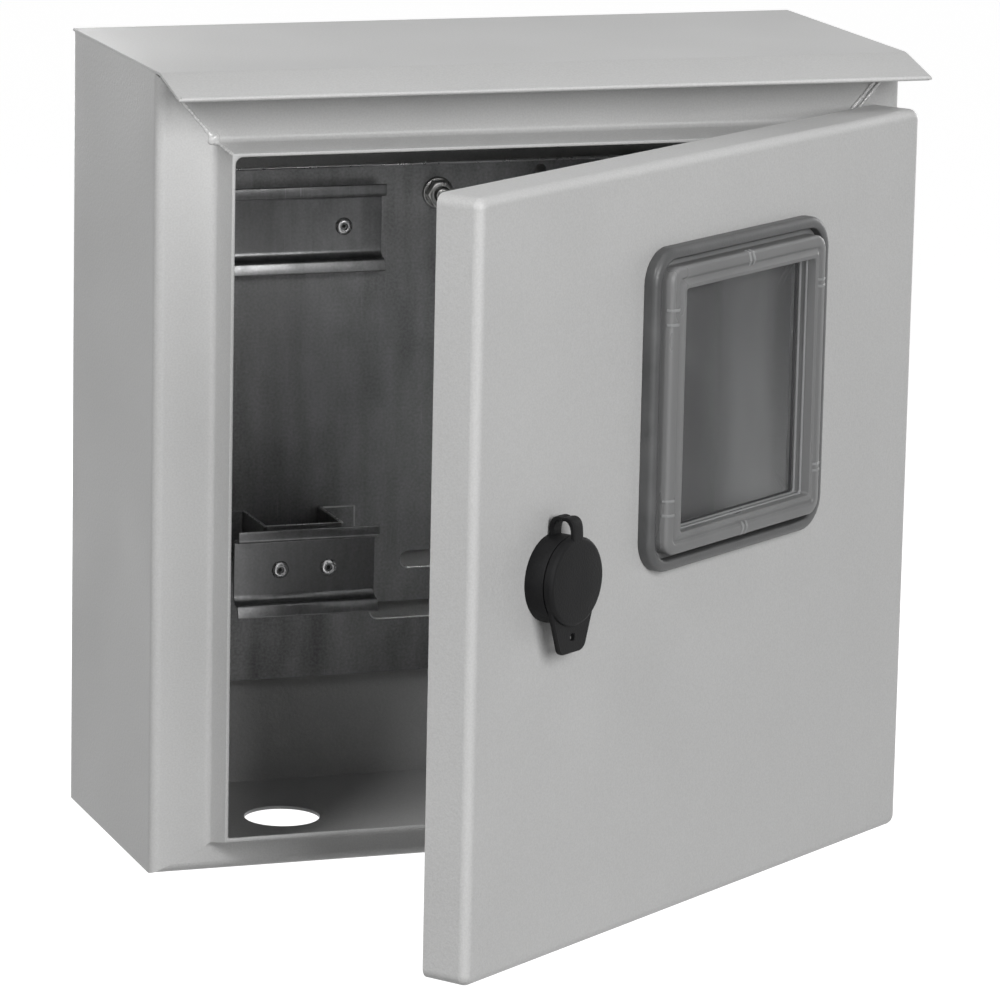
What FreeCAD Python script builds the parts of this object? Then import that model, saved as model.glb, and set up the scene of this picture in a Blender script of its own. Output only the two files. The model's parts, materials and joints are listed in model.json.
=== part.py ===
import FreeCAD, Part
import math
import os
from FreeCAD import Vector

# Wall-mounted electric meter box with a roof visor and a glazed door that stands ajar.
# Millimetres. +X is the hinge side, -Y the front, +Z up.
# Pieces are laid out from the centre of the underside with the door shut. The door pieces are
# then turned about the hinge axis, and all is moved so that the origin lies on the back face
# in the middle of the four wall holes.

# Cabinet
width = 300.0
depth = 120.0
height = 310.0
sheet = 1.2
bend = 2.5
rim_reach = 12.0
rim_slant = 3.0
opening_side = 27.3
opening_sill = 15.5
opening_head = 31.3
mitre_gap = 0.04
cable_hole_r = 15.0
cable_hole_span = 155.4
cable_hole_back = 4.2
wall_hole_r = 4.0
wall_hole_in_x = 40.0
wall_hole_in_z = 36.0
overrun = 5.0

# Roof and visor
visor_reach = 30.0
visor_start = 4.0
visor_drop = 6.2

# Door
door_reveal_hinge = 3.0
door_reveal_free = 7.0
door_sill = 3.5
door_head = 20.5
door_standoff = 21.5
return_gap = 2.3
door_edge_r = 3.5
door_corner_r = 4.0
rest_opening = 35.2
gasket_width = 10.0
gasket_clear = 0.3

# Hinges
hinge_inset = 5.6
hinge_forward = 11.0
hinge_end = 46.0
knuckle_r = 3.6
knuckle_length = 20.0
knuckle_gap = 0.3
pin_r = 2.0
pin_press = 0.01
pin_running = 0.06
leaf = 2.0
leaf_reach_in = 9.8
leaf_reach_out = 4.0
notch_margin = 2.5
notch_depth = 11.7

# Window
window_share = 0.56508
window_below_top = 91.8
window_width = 117.0
window_height = 121.0
window_corner_r = 13.0
bead_width = 4.5
bead_height = 5.5
bead_round = 2.4
seal_groove = 3.0
seal_lip = 2.5
seal_lip_inset = 0.6
glazing_clear = 0.05
glazing_ledge = 2.2
glazing_ledge_height = 2.2
glazing_step_height = 6.5
glazing_crown_height = 9.0
glazing_crown_in = 9.0
well_in = 10.5
pane = 2.5
glazing_wall = 1.9
skirt_depth = 4.2
catch_width = 6.0
catch_reach = 1.6
catch_thick = 1.4
catch_offset = 38.0

# Lock and its cap
lock_from_free_edge = 47.2
housing_r = 9.0
housing_length = 24.0
housing_head_r = 11.8
housing_head = 4.0
key_bore_r = 7.0
key_bore_depth = 3.0
barrel_r = 5.0
barrel_running = 0.06
barrel_collar = 2.5
collar_gap = 0.3
key_post_r = 4.6
key_post = 5.0
hole_clear = 0.3
lock_nut_af = 26.0
lock_nut = 4.5
lock_nut_clear = 0.05
cam_gap = 0.5
cam = 2.5
cam_hub_r = 8.5
cam_width = 13.0
cam_length = 40.0
cam_drive = 7.0
cam_drive_clear = 0.05
screw_head_r = 4.5
screw_head = 3.2
screw_r = 2.5
screw_length = 8.0
cam_washer_r = 7.0
cap_r = 16.3
cap_floor = 1.5
cap_height = 8.0
cap_wall = 3.4
lid_gap = 0.3
lid = 3.7
lid_round = 1.6
tab = 2.0
lid_skirt_clear = 0.6
lid_skirt_wall = 1.4
lid_skirt = 1.3
tab_drop = 26.4
tab_end_width = 13.0
tab_end_r = 3.5
tab_hole_r = 1.5
tab_hole_in = 5.8
tab_lean = 20.0
tab_fillet = 0.5
strap_width = 6.0
strap_out = 6.6
strap_rise = 1.6
strap_r = 5.2
strap = 2.2
strap_gap = 0.3

# Mounting panel and what it carries
panel = 1.5
panel_side_gap = 30.0
panel_sill = 45.7
panel_head = 56.3
panel_front = 110.0
stud_r = 3.0
stud_proud = 2.2
stud_clear = 0.05
spacer_r = 6.0
washer_r = 6.3
washer = 1.2
nut_af = 10.0
nut = 5.0
nut_dome_r = 6.2
nut_dome_sink = 5.3
panel_hole_clear = 0.4
top_stud_from_rail = 23.6
stud_in = 12.0
slot_height = 7.0
upper_slot_x = 22.5
upper_slot_length = 75.0
upper_slot_z = 92.0
lower_slot_x = 22.5
lower_slot_length = 100.0
lower_slot_z = 71.4
pilot_r = 2.5
pilot_x = 41.5
pilot_in = 4.5

# Rails, bracket and rivets
rail_width = 35.0
rail_channel = 25.0
rail_depth = 7.5
rail = 1.0
rail_bend = 0.8
upper_rail_from_side = 79.4
upper_rail_length = 90.0
upper_rail_from_top = 80.5
upper_rivet_span = 58.6
lower_rail_from_side = 84.5
lower_rail_length = 58.0
lower_rail_z = 98.2
lower_rivet_span = 20.0
bracket_width = 33.0
bracket_reach = 31.0
bracket_foot = 14.0
bracket_sheet = 1.5
rivet_r = 1.6
rivet_head_r = 3.3
rivet_head = 1.2
rivet_head_round = 0.7
rivet_bore_r = 1.0
rivet_bulb_r = 2.4
rivet_bulb = 2.8
rivet_clear = 0.05

# Places worked out from the sizes above
front = -depth / 2
back = depth / 2
side = width / 2
back_inner = back - sheet
body_top = height - sheet
rim_skin = sheet * math.hypot(rim_slant, rim_reach) / rim_reach
rim_front = front - rim_reach
door_right = side - door_reveal_hinge
door_left = door_reveal_free - side
door_top = height - door_head
door_front = front - door_standoff
door_inner = door_front + sheet
door_back = front - return_gap
hinge_x = door_right - hinge_inset
hinge_y = front - hinge_forward
lower_hinge_z = door_sill + hinge_end
upper_hinge_z = door_top - hinge_end
window_centre_z = door_top - window_below_top
lock_x = door_left + lock_from_free_edge
gasket_x = side - opening_side + rim_skin / 2
window_room = gasket_x - gasket_width / 2 - lock_x - window_width
window_x = lock_x + window_share * window_room + window_width / 2
lock_z = (door_sill + door_top) / 2
panel_face = front + panel_front
panel_rear = panel_face + panel
panel_side = side - panel_side_gap
panel_top = height - panel_head
pilot_z = panel_top - pilot_in
stud_end = panel_face - washer - nut - stud_proud
upper_rail_x = upper_rail_from_side - side
top_stud_x = upper_rail_x + upper_rail_length / 2 + top_stud_from_rail
panel_studs_at = [
    (top_stud_x, panel_top - stud_in),
    (stud_in - panel_side, panel_sill + stud_in),
    (panel_side - stud_in, panel_sill + stud_in),
]
upper_rail_z = height - upper_rail_from_top
lower_rail_x = lower_rail_from_side - side
upper_rivets_x = [upper_rail_x - upper_rivet_span / 2, upper_rail_x + upper_rivet_span / 2]
lower_rivets_x = [lower_rail_x - lower_rivet_span / 2, lower_rail_x + lower_rivet_span / 2]
foot_rivet_offset = (bracket_width + bracket_foot) / 2
bracket_rivets_x = [lower_rail_x - foot_rivet_offset, lower_rail_x + foot_rivet_offset]
bracket_face = panel_face - bracket_reach
hinge_half = knuckle_length + knuckle_gap / 2


def box(x0, x1, y0, y1, z0, z1):
    return Part.makeBox(x1 - x0, y1 - y0, z1 - z0, Vector(x0, y0, z0))


def rod_y(x, z, radius, y0, y1):
    return Part.makeCylinder(radius, y1 - y0, Vector(x, y0, z), Vector(0, 1, 0))


def rod_z(x, y, radius, z0, z1):
    return Part.makeCylinder(radius, z1 - z0, Vector(x, y, z0), Vector(0, 0, 1))


def tube_y(x, z, outer_r, inner_r, y0, y1):
    return rod_y(x, z, outer_r, y0, y1).cut(rod_y(x, z, inner_r, y0, y1))


def hexagon_y(x, z, across_flats, y0, y1):
    radius = across_flats / math.sqrt(3)
    corners = []
    for k in range(7):
        angle = math.radians(60 * k)
        corners.append(Vector(x + radius * math.cos(angle), y0, z + radius * math.sin(angle)))
    return Part.Face(Part.makePolygon(corners)).extrude(Vector(0, y1 - y0, 0))


def fuse(shapes):
    return shapes[0].multiFuse(shapes[1:]).removeSplitter()


def rounded_path(points, radii, place):
    # Straight runs joined by tangent arcs, one radius for each inner point.
    edges = []
    start = points[0]
    for k in range(1, len(points) - 1):
        before, corner, after = points[k - 1], points[k], points[k + 1]
        a = ((before[0] - corner[0]), (before[1] - corner[1]))
        b = ((after[0] - corner[0]), (after[1] - corner[1]))
        la = math.hypot(*a)
        lb = math.hypot(*b)
        a = (a[0] / la, a[1] / la)
        b = (b[0] / lb, b[1] / lb)
        half = math.acos(a[0] * b[0] + a[1] * b[1]) / 2
        run = radii[k - 1] / math.tan(half)
        middle = radii[k - 1] / math.sin(half) - radii[k - 1]
        bis = (a[0] + b[0], a[1] + b[1])
        lbis = math.hypot(*bis)
        p = (corner[0] + a[0] * run, corner[1] + a[1] * run)
        m = (corner[0] + bis[0] / lbis * middle, corner[1] + bis[1] / lbis * middle)
        q = (corner[0] + b[0] * run, corner[1] + b[1] * run)
        edges.append(Part.LineSegment(place(*start), place(*p)).toShape())
        edges.append(Part.Arc(place(*p), place(*m), place(*q)).toShape())
        start = q
    edges.append(Part.LineSegment(place(*start), place(*points[-1])).toShape())
    return edges


def folded_section(skin, thickness, inside_r, place):
    # Section of a folded sheet that lies to the left of the skin line.
    runs = []
    for p, q in zip(skin, skin[1:]):
        length = math.hypot(q[0] - p[0], q[1] - p[1])
        runs.append(((q[0] - p[0]) / length, (q[1] - p[1]) / length))
    left = [(-d[1], d[0]) for d in runs]
    other = [(skin[0][0] + left[0][0] * thickness, skin[0][1] + left[0][1] * thickness)]
    skin_r = []
    other_r = []
    for k in range(1, len(skin) - 1):
        n, m = left[k - 1], left[k]
        share = thickness / (1 + n[0] * m[0] + n[1] * m[1])
        other.append((skin[k][0] + (n[0] + m[0]) * share, skin[k][1] + (n[1] + m[1]) * share))
        turns_left = runs[k - 1][0] * runs[k][1] - runs[k - 1][1] * runs[k][0] > 0
        skin_r.append(inside_r + thickness if turns_left else inside_r)
        other_r.append(inside_r if turns_left else inside_r + thickness)
    other.append((skin[-1][0] + left[-1][0] * thickness, skin[-1][1] + left[-1][1] * thickness))
    edges = rounded_path(skin, skin_r, place)
    edges.append(Part.LineSegment(place(*skin[-1]), place(*other[-1])).toShape())
    edges += rounded_path(other[::-1], other_r[::-1], place)
    edges.append(Part.LineSegment(place(*other[0]), place(*skin[0])).toShape())
    return Part.Face(Part.Wire(Part.__sortEdges__(edges)))


def rounded_wire(x, z, half_x, half_z, radius, y):
    # Rounded rectangle in an upright plane.
    corners = [(half_x, half_z), (-half_x, half_z), (-half_x, -half_z), (half_x, -half_z)]
    loop = [(half_x, 0.0)] + corners + [(half_x, 0.0)]
    edges = rounded_path(loop, [radius] * 4, lambda u, v: Vector(x + u, y, z + v))
    return Part.Wire(edges)


def rounded_prism(x, z, half_x, half_z, radius, y0, y1):
    face = Part.Face(rounded_wire(x, z, half_x, half_z, radius, y0))
    return face.extrude(Vector(0, y1 - y0, 0))


def front_corner_wedges(sill, head):
    # Prisms beyond the mitre lines of the four front corners, split into side pieces and level pieces.
    # A mitre crosses the flanges to the foot of the rims, and from there both rims at 45 degrees.
    y0 = rim_front - overrun
    y1 = front + sheet + bend
    out = side + overrun
    inner_x = side - opening_side - overrun
    foot = rim_skin + rim_slant + bend
    foot_x = side - opening_side + foot
    gap = mitre_gap / 2

    def prism(s, points):
        loop = [Vector(s * u, y0, v) for u, v in points + points[:1]]
        return Part.Face(Part.makePolygon(loop)).extrude(Vector(0, y1 - y0, 0))

    def mitre(z, up, inset):
        # Seam of the corner at height z, from the outer edge to inside the opening.
        return [(side, z), (foot_x, z + up * (inset - foot)), (inner_x, z + up * (inset + overrun))]

    level = []
    upright = []
    for s in (-1, 1):
        for z, up, inset in ((0, 1, sill), (body_top, -1, head)):
            edge = z - up * gap
            far = z + up * body_top
            level.append(prism(s, mitre(edge, up, inset)[::-1] + [(out, edge), (out, far)]))
            past = z - up * overrun
            upright.append(prism(s, mitre(z + up * gap, up, inset) + [(inner_x, past), (side, past)]))
    return level, upright


def body_outline():
    # Room that the level sheets may fill: the rounded plan of the cabinet and the rims before it.
    skin_r = bend + sheet
    corners = [(side, front), (side, back), (-side, back), (-side, front)]
    edges = rounded_path([(0, front)] + corners + [(0, front)], [skin_r] * 4, lambda u, v: Vector(u, v, 0))
    plan = Part.Face(Part.Wire(edges)).extrude(Vector(0, 0, height))
    return plan.fuse(box(skin_r - side, side - skin_r, rim_front - sheet, front + sheet, 0, height))


def body_wrap():
    # Back, both sides and their front flanges, folded from one sheet.
    rim_x = side - opening_side + rim_skin
    foot_x = rim_x + rim_slant
    skin = [(rim_x, rim_front), (foot_x, front), (side, front), (side, back)]
    skin += [(-x, y) for x, y in skin[::-1]]
    section = folded_section(skin, sheet, bend, lambda u, v: Vector(u, v, 0))
    shell = section.extrude(Vector(0, 0, body_top))
    upright = front_corner_wedges(opening_sill, opening_head - sheet)[1]
    for wedge in upright:
        shell = shell.cut(wedge)
    for x in (wall_hole_in_x - side, side - wall_hole_in_x):
        for z in (wall_hole_in_z, height - wall_hole_in_z):
            shell = shell.cut(rod_y(x, z, wall_hole_r, back_inner - overrun, back + overrun))
    return shell


def level_sheet(skin, gap_index, wrap):
    # Top or bottom sheet with its front flange and rim, seated in the wrap.
    section = folded_section(skin, sheet, bend, lambda u, v: Vector(-side, u, v))
    shape = section.extrude(Vector(width, 0, 0)).common(body_outline())
    wedges = front_corner_wedges(opening_sill, opening_head - sheet)[0]
    for k in (gap_index, gap_index + 2):
        shape = shape.cut(wedges[k])
    clear = front + sheet + bend
    for x0, x1 in ((-side, sheet - side), (side - sheet, side)):
        shape = shape.cut(box(x0, x1, clear, back, 0, height))
    return shape.cut(wrap)


def body_base(wrap):
    rim_z = opening_sill - rim_skin
    skin = [(back_inner, 0), (front, 0), (front, rim_z - rim_slant), (rim_front, rim_z)]
    base = level_sheet(skin[::-1], 0, wrap)
    for x in (-cable_hole_span / 2, cable_hole_span / 2):
        base = base.cut(rod_z(x, cable_hole_back, cable_hole_r, -overrun, sheet + overrun))
    return base


def body_head(wrap):
    rim_z = height - opening_head + rim_skin
    skin = [(rim_front, rim_z), (front, rim_z + rim_slant), (front, body_top), (back_inner, body_top)]
    return level_sheet(skin[::-1], 1, wrap)


def roof_visor():
    skin = [(back, body_top), (front - visor_start, body_top), (front - visor_reach, body_top - visor_drop)]
    section = folded_section(skin[::-1], sheet, bend, lambda u, v: Vector(-side, u, v))
    return section.extrude(Vector(width, 0, 0))


def body_hinge_leaf(z_mid):
    z0 = z_mid - hinge_half
    z1 = z0 + knuckle_length
    x0 = hinge_x - knuckle_r
    plate = box(hinge_x - leaf_reach_in, hinge_x + leaf_reach_out, front - leaf, front, z0, z1)
    arm = box(x0, x0 + leaf, hinge_y, front, z0, z1)
    knuckle = rod_z(hinge_x, hinge_y, knuckle_r, z0, z1)
    bore = rod_z(hinge_x, hinge_y, pin_r + pin_press, z0, z1)
    return fuse([plate, arm, knuckle]).cut(bore)


def door_hinge_leaf(z_mid):
    z0 = z_mid + knuckle_gap / 2
    z1 = z0 + knuckle_length
    x0 = hinge_x - knuckle_r
    plate = box(hinge_x - leaf_reach_in, x0 + leaf, door_inner, door_inner + leaf, z0, z1)
    arm = box(x0, x0 + leaf, door_inner, hinge_y, z0, z1)
    knuckle = rod_z(hinge_x, hinge_y, knuckle_r, z0, z1)
    bore = rod_z(hinge_x, hinge_y, pin_r + pin_running, z0, z1)
    return fuse([plate, arm, knuckle]).cut(bore)


def hinge_pin(z_mid):
    return rod_z(hinge_x, hinge_y, pin_r, z_mid - hinge_half, z_mid + hinge_half)


def door_shell():
    x = (door_left + door_right) / 2
    z = (door_sill + door_top) / 2
    half_x = (door_right - door_left) / 2
    half_z = (door_top - door_sill) / 2
    outer = rounded_prism(x, z, half_x, half_z, door_corner_r, door_front, door_back)
    outer = outer.makeFillet(door_edge_r, [e for e in outer.Edges if e.BoundBox.YMax < door_front + 0.01])
    inner = rounded_prism(x, z, half_x - sheet, half_z - sheet, door_corner_r - sheet, door_inner, door_back)
    inner_edges = [e for e in inner.Edges if e.BoundBox.YMax < door_inner + 0.01]
    inner = inner.makeFillet(door_edge_r - sheet, inner_edges)
    pan = outer.cut(inner)
    cut_x = window_width / 2 - seal_groove
    cut_z = window_height / 2 - seal_groove
    cut_r = window_corner_r - seal_groove
    cut_y = door_front - overrun
    pan = pan.cut(rounded_prism(window_x, window_centre_z, cut_x, cut_z, cut_r, cut_y, door_inner + overrun))
    pan = pan.cut(rod_y(lock_x, lock_z, housing_r + hole_clear, cut_y, door_inner + overrun))
    for z_mid in (lower_hinge_z, upper_hinge_z):
        reach = hinge_half + notch_margin
        pan = pan.cut(box(door_right - 2 * sheet, door_right + overrun, door_back - notch_depth,
                          door_back + overrun, z_mid - reach, z_mid + reach))
    return pan


def door_gasket():
    low = opening_sill - rim_skin / 2
    high = height - opening_head + rim_skin / 2
    z = (low + high) / 2
    half_z = (high - low) / 2
    grow = gasket_width / 2
    y1 = rim_front - gasket_clear
    outer = rounded_prism(0, z, gasket_x + grow, half_z + grow, grow * 2, door_inner, y1)
    return outer.cut(rounded_prism(0, z, gasket_x - grow, half_z - grow, grow / 2, door_inner, y1))


def window_prism(inset, low, high):
    # Rounded prism in from the seal's outline by inset; low and high are heights above the door's face.
    return rounded_prism(window_x, window_centre_z, window_width / 2 - inset, window_height / 2 - inset,
                         max(window_corner_r - inset, 2.0), door_front - high, door_front - low)


def window_seal():
    bead = window_prism(0, 0, bead_height)
    crown_edges = [e for e in bead.Edges if e.BoundBox.YMax < door_front - bead_height + 0.01]
    bead = bead.makeFillet(bead_round, crown_edges)
    neck = window_prism(seal_groove, -sheet - seal_lip, bead_height - bead_round)
    lip = window_prism(seal_lip_inset, -sheet - seal_lip, -sheet)
    hole = window_prism(bead_width, -sheet - seal_lip - overrun, bead_height + overrun)
    return fuse([bead, neck, lip]).cut(hole)


def window_pane():
    # Clear moulded tray: outer skirt, stepped and sloping frame, deep well with the flat pane.
    skirt_in = bead_width + glazing_clear
    step_in = skirt_in + glazing_ledge
    crown_in = skirt_in + glazing_crown_in
    well = skirt_in + well_in
    ledge = window_prism(skirt_in, -skirt_depth, glazing_ledge_height)
    step = window_prism(step_in, 0, glazing_step_height)
    slope = Part.makeLoft([
        rounded_wire(window_x, window_centre_z, window_width / 2 - inset, window_height / 2 - inset,
                     max(window_corner_r - inset, 2.0), door_front - rise)
        for inset, rise in ((step_in, glazing_step_height), (crown_in, glazing_crown_height))
    ], True, True)
    core = fuse([ledge, step, slope])
    tray = window_prism(well - glazing_wall, -pane, glazing_crown_height)
    low_hollow = window_prism(skirt_in + glazing_wall, -skirt_depth, glazing_ledge_height - glazing_wall)
    high_hollow = window_prism(step_in + glazing_wall, 0, glazing_step_height - glazing_wall)
    hollow = fuse([low_hollow, high_hollow]).cut(tray)
    core = core.cut(hollow).cut(window_prism(well, 0, glazing_crown_height + overrun))
    half_x = window_width / 2 - skirt_in
    half_z = window_height / 2 - skirt_in
    low_y = door_front + sheet + seal_lip
    catches = []
    for s in (-1, 1):
        for t in (-1, 1):
            x0, x1 = sorted((window_x + s * (half_x - glazing_wall), window_x + s * (half_x + catch_reach)))
            z0 = window_centre_z + t * catch_offset - catch_width / 2
            catches.append(box(x0, x1, low_y, low_y + catch_thick, z0, z0 + catch_width))
        z0, z1 = sorted((window_centre_z + s * (half_z - glazing_wall),
                         window_centre_z + s * (half_z + catch_reach)))
        catches.append(box(window_x - catch_width / 2, window_x + catch_width / 2,
                           low_y, low_y + catch_thick, z0, z1))
    return fuse([core] + catches)


def lock_housing():
    head_back = door_front - cap_floor
    head = rod_y(lock_x, lock_z, housing_head_r, head_back - housing_head, head_back)
    stem = rod_y(lock_x, lock_z, housing_r, head_back, door_front + housing_length)
    shoulder = door_front + key_bore_depth
    wide = rod_y(lock_x, lock_z, key_bore_r, head_back - housing_head, shoulder)
    narrow = rod_y(lock_x, lock_z, barrel_r + barrel_running, shoulder, door_front + housing_length)
    return fuse([head, stem]).cut(wide).cut(narrow)


def lock_nut_piece():
    blank = hexagon_y(lock_x, lock_z, lock_nut_af, door_inner, door_inner + lock_nut)
    return blank.cut(rod_y(lock_x, lock_z, housing_r + lock_nut_clear, door_inner, door_inner + lock_nut))


def drive_square(half, y0, y1):
    return box(lock_x - half, lock_x + half, y0, y1, lock_z - half, lock_z + half)


def lock_barrel():
    shoulder = door_front + key_bore_depth - collar_gap
    face = shoulder - barrel_collar
    collar = rod_y(lock_x, lock_z, key_bore_r - barrel_running, face, shoulder)
    shaft = rod_y(lock_x, lock_z, barrel_r, face, door_front + housing_length + cam_gap)
    points = []
    for k in range(4):
        angle = math.radians(90 + 120 * k)
        points.append(Vector(lock_x + key_post_r * math.cos(angle), face - key_post,
                             lock_z + key_post_r * math.sin(angle)))
    post = Part.Face(Part.makePolygon(points)).extrude(Vector(0, key_post, 0))
    cam_front = door_front + housing_length + cam_gap
    drive = drive_square(cam_drive / 2, cam_front, cam_front + cam)
    bore = rod_y(lock_x, lock_z, screw_r + cam_drive_clear, cam_front - screw_length, cam_front + cam)
    return fuse([collar, shaft, post, drive]).cut(bore)


def lock_cam():
    y0 = door_front + housing_length + cam_gap
    y1 = y0 + cam
    half = cam_width / 2
    hub = rod_y(lock_x, lock_z, cam_hub_r, y0, y1)
    arm = box(lock_x - half, lock_x + half, y0, y1, lock_z - cam_length + half, lock_z)
    tip = rod_y(lock_x, lock_z - cam_length + half, half, y0, y1)
    return fuse([hub, arm, tip]).cut(drive_square(cam_drive / 2 + cam_drive_clear, y0, y1))


def cam_screw():
    y0 = door_front + housing_length + cam_gap + cam
    head = hexagon_y(lock_x, lock_z, screw_head_r * math.sqrt(3), y0, y0 + screw_head)
    flange = rod_y(lock_x, lock_z, cam_washer_r, y0, y0 + washer)
    shank = rod_y(lock_x, lock_z, screw_r, y0 - screw_length, y0)
    return fuse([head, flange, shank])


def strap_half(side_sign, drop):
    # One half of the arched strap with its leg; +1 is the half next to the door.
    y = door_front - strap_out
    z = lock_z + cap_r + strap_rise
    inner_r = strap_r - strap
    tip = strap_gap / 2
    slope = math.sqrt(0.5)

    def at(out, up):
        return Vector(lock_x - strap_width / 2, y + side_sign * out, z + up)

    edges = [
        Part.Arc(at(tip, math.sqrt(strap_r ** 2 - tip ** 2)), at(strap_r * slope, strap_r * slope),
                 at(strap_r, 0)).toShape(),
        Part.makeLine(at(strap_r, 0), at(strap_r, -drop)),
        Part.makeLine(at(strap_r, -drop), at(inner_r, -drop)),
        Part.makeLine(at(inner_r, -drop), at(inner_r, 0)),
        Part.Arc(at(inner_r, 0), at(inner_r * slope, inner_r * slope),
                 at(tip, math.sqrt(inner_r ** 2 - tip ** 2))).toShape(),
        Part.makeLine(at(tip, math.sqrt(inner_r ** 2 - tip ** 2)), at(tip, math.sqrt(strap_r ** 2 - tip ** 2))),
    ]
    return Part.Face(Part.Wire(edges)).extrude(Vector(strap_width, 0, 0))


def cap_base():
    # Cup round the lock head, with the rear half of the strap that carries the lid.
    cup = rod_y(lock_x, lock_z, cap_r, door_front - cap_height, door_front)
    cup = cup.cut(rod_y(lock_x, lock_z, cap_r - cap_wall, door_front - cap_height, door_front - cap_floor))
    cup = cup.cut(rod_y(lock_x, lock_z, housing_r + hole_clear, door_front - cap_floor, door_front))
    return fuse([cup, strap_half(1, strap_rise + cap_wall / 2)])


def cap_tab(y0, y1):
    # Pull tab that runs down from the lid and narrows to its rounded end.
    half_end = tab_end_width / 2
    lean = math.radians(tab_lean)
    start = (cap_r * math.cos(lean), lock_z - cap_r * math.sin(lean))
    end_z = lock_z - tab_drop
    outline = [(0, lock_z), (-start[0], start[1]), (-half_end, end_z), (half_end, end_z), start, (0, lock_z)]
    radii = [tab_fillet, tab_end_r, tab_end_r, tab_fillet]
    edges = rounded_path(outline, radii, lambda u, v: Vector(lock_x + u, y0, v))
    tab = Part.Face(Part.Wire(edges)).extrude(Vector(0, y1 - y0, 0))
    return tab.cut(rod_y(lock_x, end_z + tab_hole_in, tab_hole_r, y0 - overrun, y1 + overrun))


def cap_lid():
    # Lid disc with its pull tab, skirt and the front half of the strap.
    y1 = door_front - cap_height - lid_gap
    disc = rod_y(lock_x, lock_z, cap_r, y1 - lid, y1)
    disc = disc.makeFillet(lid_round, [e for e in disc.Edges if e.BoundBox.YMax < y1 - lid + 0.01])
    skirt_r = cap_r - cap_wall - lid_skirt_clear
    skirt = tube_y(lock_x, lock_z, skirt_r, skirt_r - lid_skirt_wall, y1, y1 + lid_skirt)
    return fuse([disc, cap_tab(y1 - tab, y1), skirt, strap_half(-1, strap_rise + cap_wall / 2)])


def stadium(x_mid, z_mid, length, slot, y0, y1):
    return rounded_prism(x_mid, z_mid, length / 2, slot / 2, slot / 2 - 0.01, y0, y1)


def mounting_panel():
    plate = box(-panel_side, panel_side, panel_face, panel_rear, panel_sill, panel_top)
    y0 = panel_face - overrun
    y1 = panel_rear + overrun
    plate = plate.cut(stadium(upper_slot_x, upper_slot_z, upper_slot_length, slot_height, y0, y1))
    plate = plate.cut(stadium(lower_slot_x, lower_slot_z, lower_slot_length, slot_height, y0, y1))
    plate = plate.cut(rod_y(pilot_x, pilot_z, pilot_r, y0, y1))
    for x, z in panel_studs_at:
        plate = plate.cut(rod_y(x, z, stud_r + panel_hole_clear, y0, y1))
    for x in upper_rivets_x:
        plate = plate.cut(rod_y(x, upper_rail_z, rivet_r + rivet_clear, y0, y1))
    for x in bracket_rivets_x:
        plate = plate.cut(rod_y(x, lower_rail_z, rivet_r + rivet_clear, y0, y1))
    return plate


def panel_studs():
    return Part.makeCompound([rod_y(x, z, stud_r, stud_end, back_inner) for x, z in panel_studs_at])


def panel_spacers():
    bore = stud_r + panel_hole_clear
    return Part.makeCompound([tube_y(x, z, spacer_r, bore, panel_rear, back_inner) for x, z in panel_studs_at])


def panel_washers():
    bore = stud_r + panel_hole_clear
    face = panel_face - washer
    return Part.makeCompound([tube_y(x, z, washer_r, bore, face, panel_face) for x, z in panel_studs_at])


def threaded_nut(x, z, face):
    blank = hexagon_y(x, z, nut_af, face - nut, face)
    dome = Part.makeSphere(nut_dome_r, Vector(x, face - nut + nut_dome_sink, z))
    keep = box(x - nut_af, x + nut_af, face - nut / 2, face, z - nut_af, z + nut_af)
    blank = blank.common(fuse([dome, keep]))
    return blank.cut(rod_y(x, z, stud_r + stud_clear, face - nut, face))


def panel_nuts():
    return Part.makeCompound([threaded_nut(x, z, panel_face - washer) for x, z in panel_studs_at])


def rail_piece(x_mid, z_mid, length, seat, rivets_x):
    # Top-hat rail: its web rests on the seat plane and its lips stand forward.
    lip = seat - rail_depth
    web = seat - rail
    half = rail_channel / 2
    skin = [(lip, rail_width / 2), (lip, half), (web, half)]
    skin += [(y, -z) for y, z in skin[::-1]]
    place = lambda u, v: Vector(x_mid - length / 2, u, z_mid + v)
    shape = folded_section(skin, rail, rail_bend, place).extrude(Vector(length, 0, 0))
    for x in rivets_x:
        shape = shape.cut(rod_y(x, z_mid, rivet_r + rivet_clear, web - overrun, seat + overrun))
    return shape


def rail_bracket():
    # Hat-shaped bracket that carries the short rail forward of the panel.
    half = bracket_width / 2 - bracket_sheet
    end = bracket_width / 2 + bracket_foot
    inside = bracket_face + bracket_sheet
    skin = [(end, panel_face), (half, panel_face), (half, inside), (-half, inside), (-half, panel_face),
            (-end, panel_face)]
    place = lambda u, v: Vector(lower_rail_x + u, v, lower_rail_z - rail_width / 2)
    shape = folded_section(skin, bracket_sheet, rail_bend, place).extrude(Vector(0, 0, rail_width))
    for x in bracket_rivets_x:
        shape = shape.cut(rod_y(x, lower_rail_z, rivet_r + rivet_clear, panel_face - overrun, panel_rear))
    for x in lower_rivets_x:
        shape = shape.cut(rod_y(x, lower_rail_z, rivet_r + rivet_clear, bracket_face - overrun, inside + overrun))
    return shape


def rivet(x, z, face, grip):
    head = rod_y(x, z, rivet_head_r, face - rivet_head, face)
    crown = [e for e in head.Edges if e.BoundBox.YMax < face - rivet_head + 0.01]
    head = head.makeFillet(rivet_head_round, crown)
    shank = rod_y(x, z, rivet_r, face, face + grip + rivet_bulb)
    bulb = rod_y(x, z, rivet_bulb_r, face + grip, face + grip + rivet_bulb)
    bore = rod_y(x, z, rivet_bore_r, face - rivet_head, face + grip)
    return fuse([head, shank, bulb]).cut(bore)


def rivets(xs, z, face, grip):
    return Part.makeCompound([rivet(x, z, face, grip) for x in xs])


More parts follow.
